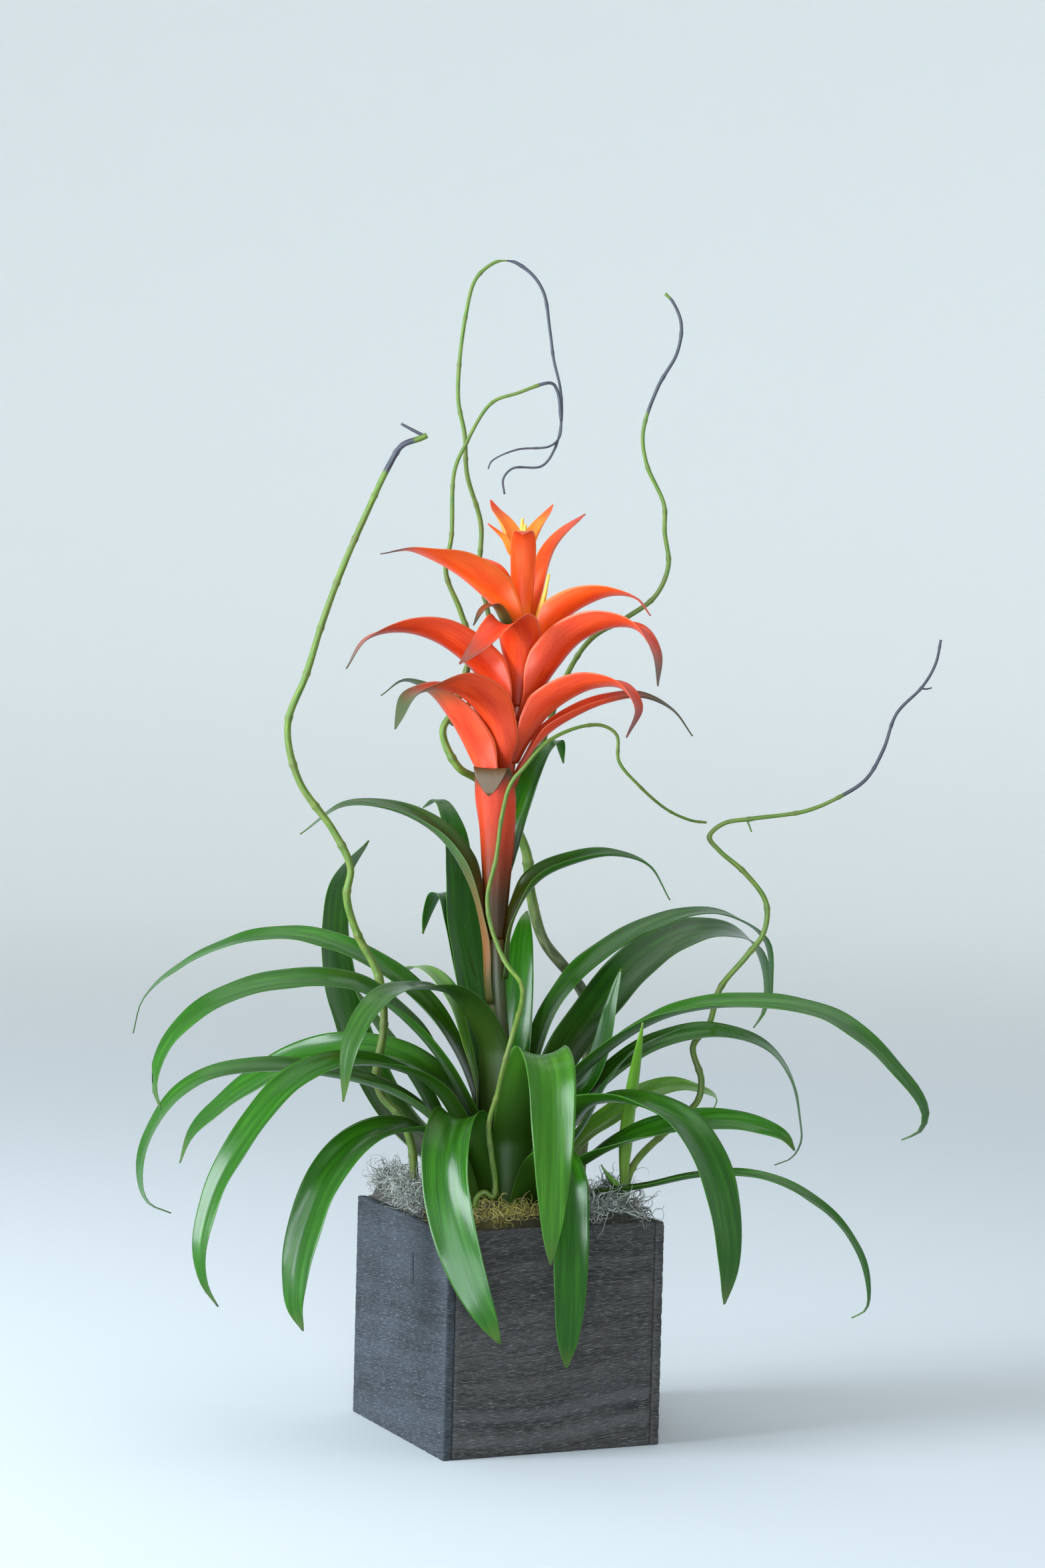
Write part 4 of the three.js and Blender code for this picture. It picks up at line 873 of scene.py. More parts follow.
def vine(route, thick, thin, dark=lambda p: np.zeros(len(p)), sides=12, step=1.6, shape=None):
    """A vine stem with a small swelling at each bud. dark says where the bark has dried. Down in the
    soil's hole the stem is plain, so that no swelling presses into the soil."""
    length = float(run_length(even_spline(route, np.linspace(0, 1, 400)))[-1])
    t = np.linspace(0, 1, max(int(length / step), 6))
    line = even_spline(route, t)
    radii = shape(t) if shape else thick + (thin - thick) * t
    run = t * length
    near = np.abs((run / BUD_EVERY + 0.5) % 1 - 0.5) * BUD_EVERY
    bud = np.exp(-(near / BUD_LENGTH) ** 2)
    in_the_open = smooth(line[:, 2], *SOIL_TO_AIR)
    swelling = BUD_SWELL * bud * (radii < NO_BUDS_FROM) + 0.03 * np.sin(run / 5.3)
    radii = radii * (1 + in_the_open * swelling)
    points, faces, traits = tube(line, radii, sides)
    extra = np.stack([np.repeat(dark(line), sides), np.repeat(bud, sides)], -1)
    return points, faces, np.hstack([traits, extra])


def vine_finish(name, green=(0.065, 0.155, 0.014), olive=(0.165, 0.24, 0.028), low=(0.12, 0.13, 0.03),
                woody=0.0):
    """Bark. Below the height woody, in metres, it is older and greyer."""
    material, tree, shader = new_finish(name, Specular_IOR_Level=0.35)
    run, around, dark, bud = (trait(tree, t) for t in VINE_TRAITS)
    streak = streaks(tree, around, 9.0, run, 0.08, 4.0, 0.6)
    patch = streaks(tree, around, 2.0, run, 0.035, 3.0, 0.6, 7.0)
    speck = streaks(tree, around, 20.0, run, 1.1, 2.0, 0.6, 3.0)
    colour = mixed(tree, scaled(tree, streak, 0.35, 0.7), green, olive)
    colour = mixed(tree, scaled(tree, patch, 0.45, 0.75, 0.0, 0.7), colour, low)
    colour = mixed(tree, scaled(tree, speck, 0.62, 0.78, 0.0, 0.6), colour, (0.09, 0.06, 0.02))
    colour = mixed(tree, scaled(tree, bud, 0.3, 0.9, 0.0, 0.3), colour, (0.12, 0.09, 0.03))
    old = mixed(tree, scaled(tree, streak, 0.35, 0.7), (0.045, 0.055, 0.022), (0.15, 0.16, 0.085))
    height = node(tree, "ShaderNodeSeparateXYZ", {0: object_place(tree)}).outputs[2]
    colour = mixed(tree, scaled(tree, height, woody - 0.03, woody + 0.03, 0.85, 0.0), colour, old)
    dry = mixed(tree, scaled(tree, streak, 0.4, 0.7), (0.035, 0.035, 0.05), (0.09, 0.09, 0.12))
    colour = mixed(tree, scaled(tree, dark, 0.3, 0.7), colour, dry)
    bark = plus(tree, streak, times(tree, speck, 0.4))
    set_look(tree, shader, colour, scaled(tree, streak, 0.3, 0.7, 0.42, 0.62),
             relief(tree, bark, 0.5, 0.0004))
    return material


vine_look = vine_finish("vine bark")
old_vine_look = vine_finish("old vine bark", woody=0.34)
step_dark = lambda value, start, spread=6: smooth(value, start - spread, start + spread)
all_dry = lambda points: np.ones(len(points))


def after(points, spot):
    """1 for every point that comes after the one nearest to spot, 0 before it."""
    nearest = np.argmin(np.linalg.norm(points - np.array(spot), axis=1))
    return (np.arange(len(points)) >= nearest) * 1.0


VINES = {
    "vine_left": [
        vine(VINE_LEFT, 3, 1.9, lambda p: step_dark(p[:, 2], 624) * (1 - 0.7 * step_dark(p[:, 0], -76))),
        vine(VINE_LEFT_TWIG, 1.3, 0.9, all_dry, 8)],
    "vine_front": [vine(VINE_FRONT, 2, 0.9, sides=10)],
    "vine_right": [
        vine(VINE_RIGHT, 2.7, 0.9, lambda p: step_dark(p[:, 0], 215)),
        *[vine(twig, 0.7, 0.5, lambda p: (p[:, 0] > 200) * 1.0, 6, 0.8) for twig in VINE_RIGHT_TWIGS]],
    "vine_back": [
        vine(VINE_BACK, 4.3, 1.1, lambda p: after(p, (7, 20, 683)),
             shape=lambda t: 4.3 + (1.1 - 4.3) * smooth(t, 0.12, 0.95)),
        vine(VINE_BACK_LOOP, 1.9, 0.7, lambda p: after(p, (-17, 26, 765)), 10),
        vine(VINE_BACK_TWIG, 0.9, 0.5, all_dry, 8),
        vine(VINE_BACK_RIGHT, 2.1, 1,
             lambda p: step_dark(p[:, 2], 668) * (1 - step_dark(p[:, 2], 743, 3)), 10)],
}
for name, stems in VINES.items():
    points, faces, traits = joined(stems)
    make_piece(name + "_fine", in_part_frame(points), faces,
               [old_vine_look if name == "vine_back" else vine_look], name, traits, VINE_TRAITS)
print(len(VINES), "vines")

# %% [markdown]
# ## The side shoot
# A narrow young shoot stands at the foot of the plant. New growth has thinner skin and less
# green in it, so it is lighter and yellower than the leaves that shade it.

# %% Side shoot
SHOOT = (74.0, -20.0)
shoot_form = {**BRACT_FORM, "wrap_from": 3, "wrap_to": 7}
SHOOT_LEAVES = [
    (282, 9, [(2, 165), (5, 190), (20, 235), (40, 276)]),
    (165, 8, [(4, 162), (9, 168), (15, 178)]),
]
shoot_parts = [blade_mesh(dict(azimuth=azimuth, width=width, base=4, points=[(1, 154), *points],
                               form=shoot_form, axis=lambda height, t: SHOOT),
                          steps=56, columns=10, crease=0.1)
               for azimuth, width, points in SHOOT_LEAVES]
shoot_post = post(*SHOOT, (95, 110, 130, 150, 158), (2.4, 2.6, 2.6, 2.5, 1.6), 14, 16, 0.1)
points, faces, traits = joined(shoot_parts + [shoot_post])
make_piece("side_shoot_fine", in_part_frame(points), faces, [leaf_finish("side shoot", **YOUNG)],
           "side_shoot", traits, BLADE_TRAITS)

# %% [markdown]
# ## The wooden planter
# Four boards butt together at the corners. Weathered softwood is grey because light has bleached
# its surface, and its grain stands up in ridges because the softer wood between has worn away.
# The edges are knocked back and uneven, so each board is cut into small cells that can be pushed in.

# %% Boards
SIDE = 152.4
HEIGHT = 145.0
BOARD = 6.5
BOTTOM = 8.0
JOINT = 0.15
GAP = 0.3
INNER = SIDE - 2 * BOARD
WORN_BAND = 3.2


def wood_finish(name, grain_axis, dark=(0.011, 0.011, 0.0115), light=(0.072, 0.067, 0.063),
                grey=(0.086, 0.088, 0.090), fleck=(0.24, 0.235, 0.235), greyed=0.35, slope=0.0,
                seed=0.0, wavy=0.0016,
                eye=(9.0, 0.0, 0.0), pale=(9.0, 9.0)):
    """Weathered wood. grain_axis is 0 where the grain runs along X, 1 where along Y. eye is a knot's
    place and size in metres, and pale the heights of lighter stripes: by default both lie far off."""
    material, tree, shader = new_finish(name, Specular_IOR_Level=0.3)
    parts = node(tree, "ShaderNodeSeparateXYZ", {0: object_place(tree)})
    along, through = parts.outputs[grain_axis], parts.outputs[1 - grain_axis]
    up = minus(tree, parts.outputs[2], times(tree, along, slope))
    wander = streaks(tree, along, 14.0, up, 30.0, 2.0, 0.5, seed)
    bent = plus(tree, up, times(tree, minus(tree, wander, 0.5), wavy))
    eye_along, eye_up, eye_size = eye
    near = scaled(tree, maths(tree, "ABSOLUTE", minus(tree, along, eye_along)), 0.0, 0.07, 1.0, 0.0)
    over = scaled(tree, minus(tree, up, eye_up), -0.03, 0.03, -1.0, 1.0)
    bent = minus(tree, bent, times(tree, times(tree, near, over), eye_size))

    def grain(length, fineness, depth, detail, rough):
        return streaks(tree, along, length, bent, fineness, detail, rough,
                       plus(tree, times(tree, through, depth), seed))

    bands, lines = grain(4.0, 90.0, 30.0, 3.0, 0.5), grain(26.0, 640.0, 90.0, 3.0, 0.6)
    fibre, hair = grain(150.0, 2600.0, 300.0, 3.0, 0.6), grain(330.0, 4200.0, 600.0, 2.0, 0.6)
    wide = streaks(tree, along, 16.0, bent, 30.0, 3.0, 0.55, seed + 5.0)
    tone = plus(tree, times(tree, bands, 0.25), times(tree, lines, 0.35))
    tone = plus(tree, tone, times(tree, fibre, 0.4))
    colour = mixed(tree, scaled(tree, tone, 0.38, 0.62), dark, light)
    colour = mixed(tree, scaled(tree, wide, 0.4, 0.7, 0.0, greyed), colour, grey)
    pores = scaled(tree, plus(tree, fibre, times(tree, hair, 0.35)), 0.50, 0.60, 1.0, 0.0)
    for height in pale:
        stripe = maths(tree, "ABSOLUTE", minus(tree, bent, height))
        colour = mixed(tree, scaled(tree, stripe, 0.0015, 0.0055, 0.55, 0.0), colour, grey)
    colour = mixed(tree, times(tree, pores, 0.55), colour, (0.010, 0.009, 0.009))
    flecks = scaled(tree, plus(tree, fibre, times(tree, hair, 0.6)), 0.88, 1.0, 0.0, 0.7)
    colour = mixed(tree, flecks, colour, fleck)
    worn = trait(tree, "worn")
    colour = mixed(tree, times(tree, worn, 0.4), colour, light)
    # Inside the slit the wood is painted nearly black: painted shade of the narrow recess.
    slit_shade = scaled(tree, trait(tree, "pressed"), 0.1, 0.6, 0.0, 0.92)
    colour = mixed(tree, slit_shade, colour, (0.004, 0.004, 0.005))
    set_look(tree, shader, colour, scaled(tree, tone, 0.35, 0.7, 0.72, 0.9),
             relief(tree, hair, 0.5, 0.0002, relief(tree, plus(tree, lines, fibre), 0.6, 0.0006)))
    return material


def board_mesh(size, centre, cell=1.6, round_off=1.1, wear=0.7, seed=1):
    """A board as a closed box of small cells, with rounded and knocked edges."""
    half = np.array(size) / 2
    counts = [max(int(round(s / cell)), 4) for s in size]
    points, faces, start = [], [], 0
    for axis in range(3):
        u, v = [a for a in range(3) if a != axis]
        for sign in (-1, 1):
            a = np.linspace(-half[u], half[u], counts[u] + 1)
            b = np.linspace(-half[v], half[v], counts[v] + 1)
            grid = np.zeros((len(a), len(b), 3))
            grid[..., u], grid[..., v], grid[..., axis] = a[:, None], b[None, :], sign * half[axis]
            flip = (sign > 0) == (axis == 1)
            faces += [list(f) for f in grid_faces(len(a), len(b), start, flip=not flip)]
            points.append(grid.reshape(-1, 3))
            start += grid.size // 3
    points = np.vstack(points)
    rounding = np.minimum(round_off, half.min() * 0.9)
    core = np.clip(points, -(half - rounding), half - rounding)
    out = points - core
    near = np.linalg.norm(out, axis=1)
    points = core + unit(out) * np.minimum(near, rounding)[:, None] * (near > 1e-9)[:, None]
    gap = np.sort(half - np.abs(points), axis=1)[:, 1]
    phase = points @ np.array([0.21, 0.17, 0.25]) + seed
    knock = wear * np.maximum(np.sin(phase) * np.sin(phase * 2.7 + 1) + 0.35 * np.sin(phase * 7.1), 0)
    worn = np.clip(1 - gap / WORN_BAND, 0, 1)
    at_edge = half - np.abs(points) < WORN_BAND
    points = points - np.sign(points) * at_edge * (0.6 * knock * worn**2)[:, None]
    return points + np.array(centre), faces, worn[:, None]


def press_in(points, place, half_width, half_height, depth):
    """Pushes a narrow upright slit into a board's left face, and returns how far each point went in, which
    the finish paints nearly black as painted shade of the slit.
    """
    y, z = place
    lean = (points[:, 2] - z) * 0.05
    narrow = np.exp(-((points[:, 1] - y - lean) / half_width) ** 2)
    tall = smooth(np.abs(points[:, 2] - z), half_height, half_height * 0.6)
    pressed = narrow * tall * (points[:, 0] < -SIDE / 2 + 1)
    points[:, 0] += depth * pressed
    return pressed


def make_board(name, size, centre, finish, seed, slit=None, cell=1.6):
    points, faces, worn = board_mesh(size, centre, seed=seed, cell=cell)
    pressed = press_in(points, *slit) if slit else np.zeros(len(points))
    piece = make_piece(name + "_fine", points * MM, faces, [finish], name, np.column_stack([worn, pressed]),
                       ("worn", "pressed"), smooth_angle=50)
    cells = bmesh.new()
    cells.from_mesh(piece.data)
    bmesh.ops.remove_doubles(cells, verts=cells.verts, dist=1e-6)
    bmesh.ops.recalc_face_normals(cells, faces=cells.faces)
    cells.to_mesh(piece.data)
    cells.free()
    return piece


upright_size, cross_size = (BOARD, SIDE, HEIGHT), (INNER - 2 * JOINT, BOARD, HEIGHT)
to_side = (SIDE - BOARD) / 2
WOOD = {
    # board_left's own bluer colours are painted light: the cool tint of the window that lights that side.
    "board_left": (upright_size, (-to_side, 0, HEIGHT / 2), 1,
                   dict(dark=(0.011, 0.014, 0.018), light=(0.046, 0.056, 0.068), grey=(0.048, 0.060, 0.074),
                        fleck=(0.16, 0.185, 0.22), greyed=0.5, seed=3.0, wavy=0.004, slope=-0.1,
                        eye=(0.02, 0.05, 0.003))),
    "board_right": (upright_size, (to_side, 0, HEIGHT / 2), 1, dict(seed=11.0)),
    "board_front": (cross_size, (0, -to_side, HEIGHT / 2), 0,
                    dict(greyed=0.2, slope=0.05, seed=7.0, eye=(-0.015, 0.075, 0.005),
                         pale=(0.015, 0.031))),
    "board_back": (cross_size, (0, to_side, HEIGHT / 2), 0, dict(seed=19.0)),
    "board_bottom": ((INNER - 2 * GAP, INNER - 2 * GAP, BOTTOM), (0, 0, BOTTOM / 2), 0, dict(seed=23.0)),
}
SLIT = ((-21.0, 112.0), 0.9, 13.0, 3.5)
for k, (name, (size, centre, axis, look)) in enumerate(WOOD.items()):
    left = name == "board_left"
    make_board(name, size, centre, wood_finish(name, axis, **look), seed=k * 1.7,
               slit=SLIT if left else None,
               cell=1.1 if left else 1.6)
print(len(WOOD), "boards")

# %% [markdown]
# ## Liner and soil
# Under the moss sits a thin black plastic liner, which keeps the wet soil off the wood. Both
# already have their right shape in the frame, so they only get a proper finish.

# %% Liner and soil
liner_look, tree, shader = new_finish("black liner", Specular_IOR_Level=0.4)
scuff = noise(tree, object_place(tree), 90.0, 5.0, 0.7)
black = mixed(tree, scaled(tree, scuff, 0.45, 0.75), (0.012, 0.012, 0.013), (0.04, 0.04, 0.043))
set_look(tree, shader, black,
         scaled(tree, scuff, 0.3, 0.7, 0.4, 0.65), relief(tree, scuff, 0.2, 0.0003))

soil_look, tree, shader = new_finish("potting soil", Specular_IOR_Level=0.2)
crumb = noise(tree, object_place(tree), 420.0, 6.0, 0.75)
clods = noise(tree, object_place(tree), 90.0, 4.0, 0.6)
brown = mixed(tree, scaled(tree, crumb, 0.35, 0.7), (0.012, 0.008, 0.005), (0.07, 0.045, 0.026))
set_look(tree, shader, brown,
         scaled(tree, clods, 0.3, 0.7, 0.85, 1.0), relief(tree, plus(tree, crumb, clods), 1.0, 0.002))

for name, look in (("plastic_liner", liner_look), ("soil", soil_look)):
    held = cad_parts[name]
    held.data.materials.clear()
    held.data.materials.append(look)

# %% [markdown]
# ## Moss
# Two kinds of moss dress the soil. Sheet moss is a low tangle of green and golden brown shoots.
# The silver curls at the corners are long grey threads that coil as they dry. Both are made as a
# lumpy blanket with thousands of fine curling threads standing out of it. The blanket has no
# holes for the vines, which simply stand in it, hidden by the threads.

# %% The blanket under the threads
LINER_TOP = 133
MOSS_FLOOR = 127.3
PAD_FLOOR = 136
MOSS_HOLE = 37
LINER_WALL = 1.0
SOIL_HALF = INNER / 2 - GAP - LINER_WALL - GAP
# x, y, height and spread of each mound, and for a pad its first and last compass angle too
MOUNDS = [(-12, -46, 13, 12), (20, -62, 5, 16), (-40, -70, 4, 14), (10, 70, 7, 25), (-30, 55, 3, 18)]
PADS = {
    "grey_moss_left": (150.0, 217.5, [(-80, 18, 13, 16), (-72, -18, 9, 14)]),
    "grey_moss_right": (315.0, 375.0, [(72, 12, 11, 13), (62, -40, 6, 12)]),
}
VINE_ROOTS = [(VINE_LEFT, 3.9), (VINE_FRONT, 2.9), (VINE_RIGHT, 3.6), (VINE_BACK, 5.2)]


def wall_distance(half, turn):
    angle = turn + PLANT_TURN
    return half / np.maximum(np.abs(np.cos(angle)), np.abs(np.sin(angle)))


def moss_top(x, y, mounds):
    out = np.hypot(x, y)
    lumps = 1.3 * np.sin(x * 0.31 + 1.7) * np.cos(y * 0.27) + 0.9 * np.sin(x * 0.13 - y * 0.45)
    heaps = sum(h * np.exp(-((x - mx) ** 2 + (y - my) ** 2) / (2 * s**2)) for mx, my, h, s in mounds)
    return 141 + 7 * smooth(out, 36, 66) + lumps + heaps


def in_pad(turn_degrees, margin=8):
    """True where one of the grey pads lies over the sheet moss."""
    held = np.zeros(np.shape(turn_degrees), bool)
    for low, high, _ in PADS.values():
        held |= (turn_degrees - low + margin) % 360 < high - low + 2 * margin
    return held


def moss_blanket(low, high, floor, top_of, steps, columns=26, bumps=0.5, seed=1):
    """The blanket's closed skin: rows go round the plant, columns across the top and back under."""
    whole = high - low == 360
    turn = np.radians(np.linspace(low, high, steps, endpoint=not whole))
    outer = wall_distance(INNER / 2 - GAP, turn)
    tight = wall_distance(SOIL_HALF - GAP, turn)
    at = lambda r: np.stack([r * np.cos(turn), r * np.sin(turn)], -1)
    inner = at(MOSS_HOLE + 1 + 0 * turn)
    inner[:, 0] += ROSETTE[0]
    share = np.linspace(0, 1, columns)
    rim = inner[:, None] + (at(outer) - inner)[:, None] * share[None, :, None]
    height = top_of(rim[..., 0], rim[..., 1], turn[:, None] + 0 * share[None, :])
    x, y = rim[..., 0], rim[..., 1]
    rough = (np.sin(x * 1.7 + seed) * np.sin(y * 1.9 + 2 * seed) + 0.6 * np.sin(x * 3.1 - y * 2.3 + seed))
    edge = np.minimum(share, 1 - share) * 8
    height = height + bumps * rough * np.minimum(edge, 1)[None, :]
    base = LINER_TOP + 1.0 if floor < LINER_TOP else floor
    drop = smooth(share, 0.9, 1.0)[None, :] * 0.5 + smooth(share, 0.12, 0.0)[None, :] * 0.2
    height = height - drop * (height - base)
    top_rows = np.dstack([rim, height])
    if floor < LINER_TOP:
        profile = [(outer, base - 0.3), (tight, base - 0.7), (tight, floor)]
    else:
        profile = [(outer, floor)]
    below = [np.column_stack([at(r), np.full(len(turn), z)]) for r, z in profile]
    foot = np.column_stack([inner, np.full(len(turn), floor)])
    ring = np.concatenate([top_rows, np.stack(below + [foot], 1)], 1)
    rows, width = ring.shape[:2]
    points = ring.reshape(-1, 3)
    faces = [list(f) for f in grid_faces(rows, width, closed=True)]
    if whole:
        last = (rows - 1) * width
        faces += [[last + j, last + (j + 1) % width, (j + 1) % width, j] for j in range(width)]
    else:
        faces += [list(range(width))[::-1], [(rows - 1) * width + j for j in range(width)]]
    return points, faces


# %% [markdown]
# ## Moss threads
# A thread is a random walk that keeps turning the same way, which makes it curl. All threads are
# worked out at once as one array, and each becomes a thin three-sided tube. They may tangle with
# stems and leaves, but they are kept out of the boards, the liner and the soil.

# %% Threads and the finished moss
rng = np.random.default_rng(41)


def off_the_wood(path, room=0.6):
    """Presses a thread out of the boards by their nearest face, and keeps it above liner and soil."""
    c, s = math.cos(PLANT_TURN), math.sin(PLANT_TURN)
    across = [c * path[..., 0] - s * path[..., 1], s * path[..., 0] + c * path[..., 1]]
    height = np.maximum(path[..., 2], LINER_TOP + room)
    for k in (0, 1):
        into = np.abs(across[k]) - (INNER / 2 - room)
        under = HEIGHT + room - height
        in_wood = (into > 0) & (under > 0) & (np.abs(across[k]) < SIDE / 2 + room)
        height = np.where(in_wood & (into > under), HEIGHT + room, height)
        across[k] = np.where(in_wood & (into <= under), np.sign(across[k]) * (INNER / 2 - room), across[k])
    return np.stack([c * across[0] + s * across[1], -s * across[0] + c * across[1], height], -1)


def threads(starts, outward, length, radius, curl, steps=9, lift=0.5, wobble=0.35):
    """Curling threads from starts. curl is how far each turns over its length, in radians."""
    count = len(starts)
    heading = unit(outward * lift + rng.normal(0, 1, (count, 3)))
    heading[:, 2] = np.abs(heading[:, 2]) * 0.6
    heading = unit(heading)
    axis = unit(rng.normal(0, 1, (count, 3)))
    lengths = length * rng.uniform(0.5, 1.3, count)
    turns = curl * rng.uniform(0.3, 1.5, count) / steps
    path = [starts]
    for _ in range(steps):
        axis = unit(axis + rng.normal(0, wobble, (count, 3)))
        sideways = np.cross(axis, heading)
        along = np.sum(axis * heading, -1, keepdims=True)
        c, s = np.cos(turns)[:, None], np.sin(turns)[:, None]
        heading = unit(heading * c + sideways * s + axis * along * (1 - c))
        path.append(path[-1] + heading * (lengths / steps)[:, None])
    path = off_the_wood(np.stack(path, 1))
    tangent = unit(np.gradient(path, axis=1))
    side = unit(np.cross(tangent, unit(rng.normal(0, 1, (count, 1, 3)))))
    other = np.cross(tangent, side)
    thinning = 1 - 0.75 * np.linspace(0, 1, steps + 1) ** 2
    size = radius * rng.uniform(0.6, 1.3, (count, 1)) * thinning[None, :]
    angle = (np.arange(3) * 2 * math.pi / 3)[None, None, :, None]
    ring = path[:, :, None] + size[..., None, None] * (
        side[:, :, None] * np.cos(angle) + other[:, :, None] * np.sin(angle))
    block = (steps + 1) * 3
    one = grid_faces(steps + 1, 3, closed=True)
    caps = [[0, 2, 1], [block - 3, block - 2, block - 1]]
    starts_at = np.arange(count)[:, None, None] * block
    quads = (starts_at + one[None]).reshape(-1, 4)
    ends = (starts_at + np.array(caps)[None]).reshape(-1, 3)
    tint = np.repeat(rng.uniform(0, 1, count), block)
    far = np.tile(np.repeat(np.linspace(0, 1, steps + 1), 3), count)
    return ring.reshape(-1, 3), [list(f) for f in quads] + [list(f) for f in ends], np.stack([tint, far], -1)


def moss_finish(name, dark, middle, light, rusty=(0.16, 0.06, 0.02), rust=0.15):
    material, tree, shader = new_finish(name, Specular_IOR_Level=0.2, Sheen_Weight=0.15, Sheen_Roughness=0.6)
    tint, far = trait(tree, "tint"), trait(tree, "far")
    cloud = noise(tree, object_place(tree), 70.0, 3.0, 0.6)
    fine = noise(tree, object_place(tree), 900.0, 3.0, 0.6)
    value = plus(tree, times(tree, tint, 0.6), times(tree, cloud, 0.5))
    colour = mixed(tree, scaled(tree, value, 0.15, 0.5), dark, middle)
    colour = mixed(tree, scaled(tree, value, 0.48, 0.85), colour, light)
    colour = mixed(tree, scaled(tree, tint, 1 - rust, 1 - rust * 0.5, 0.0, 0.8), colour, rusty)
    colour = mixed(tree, scaled(tree, fine, 0.3, 0.8, 0.0, 0.25), colour, dark)
    # Near a thread's root and on the blanket under the threads the colour turns almost black: painted shade
    # beneath the tangle.
    colour = mixed(tree, scaled(tree, far, 0.0, 0.2, 0.75, 0.0), colour, (0.016, 0.013, 0.007))
    set_look(tree, shader, colour, scaled(tree, fine, 0.3, 0.7, 0.75, 0.95), relief(tree, fine, 0.6, 0.0006))
    return material


def clear_of_roots(points):
    """True for starts that stand clear of the vines' feet and the shoot."""
    free = np.ones(len(points), bool)
    for route, room in VINE_ROOTS:
        line = even_spline([p for p in route if p[2] < 190], np.linspace(0, 1, 60))
        gap = np.linalg.norm(points[:, None, :] - line[None], axis=-1).min(1)
        free &= gap > room
    return free & (np.hypot(points[:, 0] - SHOOT[0], points[:, 1] - SHOOT[1]) > 3.6)


def moss_piece(name, low, high, floor, top_of, finish, count, length, radius, curl, steps, rows, inset=0.02,
               bumps=0.5, only=None, seed=1):
    skin, skin_faces = moss_blanket(low, high, floor, top_of, rows, bumps=bumps, seed=seed)
    turn = np.radians(rng.uniform(low, high, count * 2))
    share = rng.uniform(0.0, 1.0, count * 2) ** 0.36 * (1 - inset)
    outer = wall_distance(INNER / 2 - 1.5, turn)
    inner_x = ROSETTE[0] + MOSS_HOLE * np.cos(turn)
    inner_y = MOSS_HOLE * np.sin(turn)
    x = inner_x + (outer * np.cos(turn) - inner_x) * share
    y = inner_y + (outer * np.sin(turn) - inner_y) * share
    starts = np.stack([x, y, top_of(x, y, turn) - 0.6], -1)
    keep = clear_of_roots(starts)
    if only is not None:
        keep &= only(np.degrees(turn))
    starts = starts[keep][:count]
    outward = unit(np.column_stack([starts[:, 0] * 0.01, starts[:, 1] * 0.01, np.ones(len(starts))]))
    hair, hair_faces, hair_traits = threads(starts, outward, length, radius, curl, steps)
    skin_traits = np.zeros((len(skin), 2))
    points, faces, traits = joined([(skin, skin_faces, skin_traits), (hair, hair_faces, hair_traits)])
    make_piece(name + "_fine", in_part_frame(points), faces, [finish], name, traits, ("tint", "far"))


green_look = moss_finish("sheet moss", (0.08, 0.062, 0.012), (0.50, 0.43, 0.07), (0.92, 0.84, 0.34),
                         rusty=(0.16, 0.09, 0.03), rust=0.22)
grey_look = moss_finish("grey moss", (0.07, 0.075, 0.06), (0.32, 0.345, 0.31), (0.62, 0.66, 0.63),
                        rusty=(0.16, 0.06, 0.025), rust=0.12)
sheet_top = lambda x, y, turn: np.where(in_pad(np.degrees(turn)), PAD_FLOOR - 0.5, moss_top(x, y, MOUNDS))
moss_piece("sheet_moss", 0, 360, MOSS_FLOOR, sheet_top, green_look, 3000, 13.0, 0.42, 8.0, 9, 240,
           only=lambda a: ~in_pad(a, 2))
for k, (name, (low, high, mounds)) in enumerate(PADS.items()):
    pad_top = lambda x, y, turn, m=mounds: moss_top(x, y, m)
    moss_piece(name, low, high, PAD_FLOOR, pad_top, grey_look, 1150, 26.0, 0.36, 14.0, 20, 70, seed=k + 2)
print("moss", {k: v for k, v in made_triangles.items() if "moss" in k})

# %% [markdown]
# ## The studio
# One large soft light from the left stands in for the window, a second stands behind the camera
# and a weak one hangs overhead. A fourth shows only in reflections, to give the leaves their pale
# streaks. The floor curves up into a pale wall all round, so that every view has a plain
# background. It is darker on the camera's side, so that glossy leaves don't mirror a bright wall.

# %% Floor and lights
floor_profile = [(0, 0), (3.2, 0), (3.8, 0.03), (4.3, 0.14), (4.7, 0.36), (4.92, 0.7), (5.0, 1.2),
                 (5.0, 3.2)]
FLOOR_SIDES = 96
FLOOR_ROWS = 40
rows = even_spline(floor_profile, np.linspace(0.0, 1, FLOOR_ROWS))
rows[:, 1] = np.maximum(rows[:, 1], 0)
angle = np.linspace(0, 2 * math.pi, FLOOR_SIDES, endpoint=False)
bowl = np.stack([rows[:, :1] * np.cos(angle), rows[:, :1] * np.sin(angle), rows[:, 1:] + 0 * angle], -1)
floor_mesh = bpy.data.meshes.new("floor")
floor_mesh.from_pydata(bowl[1:].reshape(-1, 3).tolist() + [[0, 0, 0]], [],
                       [list(map(int, f)) for f in grid_faces(len(rows) - 1, FLOOR_SIDES, closed=True)]
                       + [[(k + 1) % FLOOR_SIDES, k,
                           (len(rows) - 1) * FLOOR_SIDES] for k in range(FLOOR_SIDES)])
floor_mesh.polygons.foreach_set("use_smooth", np.ones(len(floor_mesh.polygons), bool))
floor_look, tree, shader = new_finish("pale floor", Roughness=0.85, Specular_IOR_Level=0.1)
flat_spot = node(tree, "ShaderNodeVectorMath", {0: object_place(tree), 1: (1, 1, 0)},
                 operation="MULTIPLY").outputs[0]
from_middle = node(tree, "ShaderNodeVectorMath", {0: flat_spot}, operation="LENGTH").outputs["Value"]
to_front = turn_plant @ Vector((0, -1, 0))
frontness = node(tree, "ShaderNodeVectorMath", {0: flat_spot, 1: tuple(to_front)},
                 operation="DOT_PRODUCT").outputs["Value"]
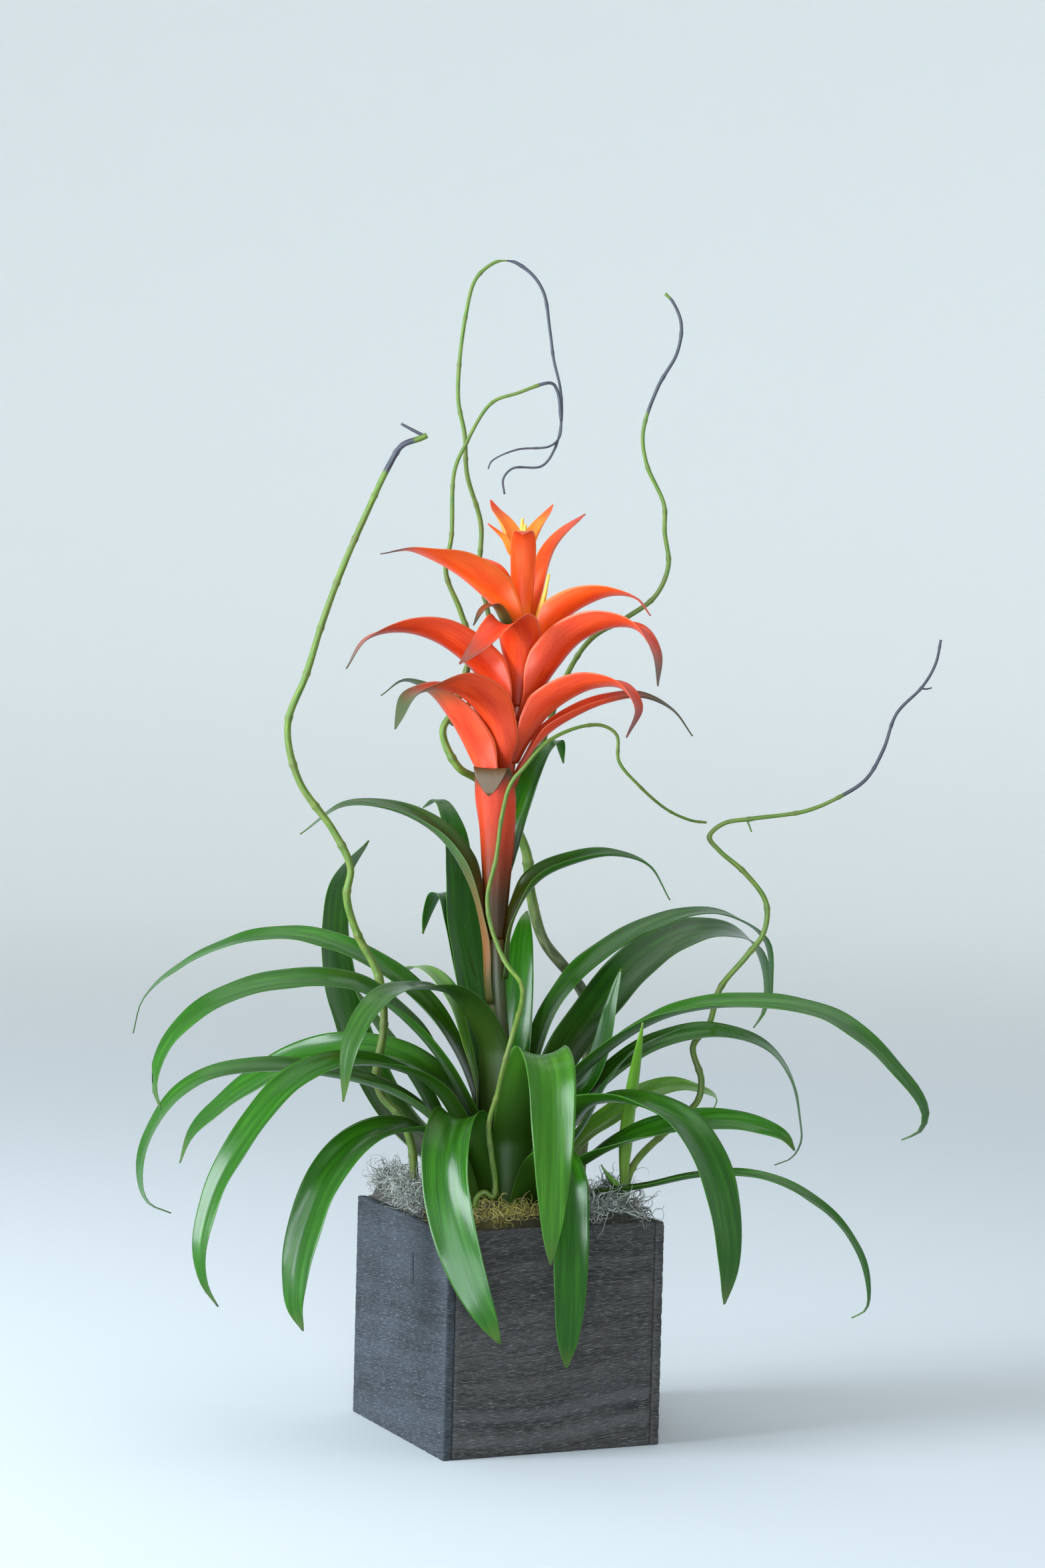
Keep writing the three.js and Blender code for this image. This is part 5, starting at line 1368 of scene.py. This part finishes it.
pale = mixed(tree, scaled(tree, from_middle, 1.2, 4.2), (0.54, 0.58, 0.61), (0.88, 0.905, 0.90))
tree.links.new(mixed(tree, scaled(tree, frontness, 2.2, 3.8, 0.0, 0.8), pale, (0.36, 0.38, 0.39)),
               shader.inputs["Base Color"])
floor_mesh.materials.append(floor_look)
floor = bpy.data.objects.new("floor", floor_mesh)
bpy.context.scene.collection.objects.link(floor)


AIM = (0, 0, 320)
LIGHTS = {
    "window": dict(spot=(-2100, -900, 950), size=(1.0, 1.7), power=112, colour=(0.84, 0.93, 1.0)),
    "front window": dict(spot=(50, -3100, 900), size=(1.1, 1.4), power=44, colour=(0.84, 0.94, 1.0)),
    "gloss card": dict(spot=(-900, -2900, 800), size=(2.2, 2.2), power=130, colour=(0.80, 0.93, 1.0),
                       only_gloss=True),
    "top": dict(spot=(0, 300, 2400), size=(2.4, 2.4), power=20, colour=(0.97, 0.99, 1.0)),
}
SKY_COLOUR = (0.92, 0.97, 1.0, 1)
SKY_STRENGTH = 0.62


def soft_light(name, spot, size, power, colour, only_gloss=False):
    lamp = bpy.data.lights.new(name, "AREA")
    lamp.shape = "RECTANGLE"
    lamp.size, lamp.size_y = size
    lamp.energy = power
    lamp.color = colour
    holder = bpy.data.objects.new(name, lamp)
    place = turn_plant @ (Vector(spot) * MM)
    target = turn_plant @ (Vector(AIM) * MM)
    turned = (place - target).to_track_quat("Z", "Y").to_matrix().to_4x4()
    holder.matrix_world = Matrix.Translation(place) @ turned
    holder.visible_diffuse = not only_gloss
    bpy.context.scene.collection.objects.link(holder)


for name, light in LIGHTS.items():
    soft_light(name, **light)
world = bpy.data.worlds.new("studio")
bpy.context.scene.world = world
world.use_nodes = True
world.node_tree.nodes["Background"].inputs[0].default_value = SKY_COLOUR
world.node_tree.nodes["Background"].inputs[1].default_value = SKY_STRENGTH

# %% [markdown]
# ## Last numbers
# The new model keeps to the frame's size, since make_piece presses every point into the frame's box. At the
# end the triangles are counted.

# %% Triangles, and done
print(sum(made_triangles.values()), "triangles,", max(made_triangles, key=made_triangles.get),
      "has the most")
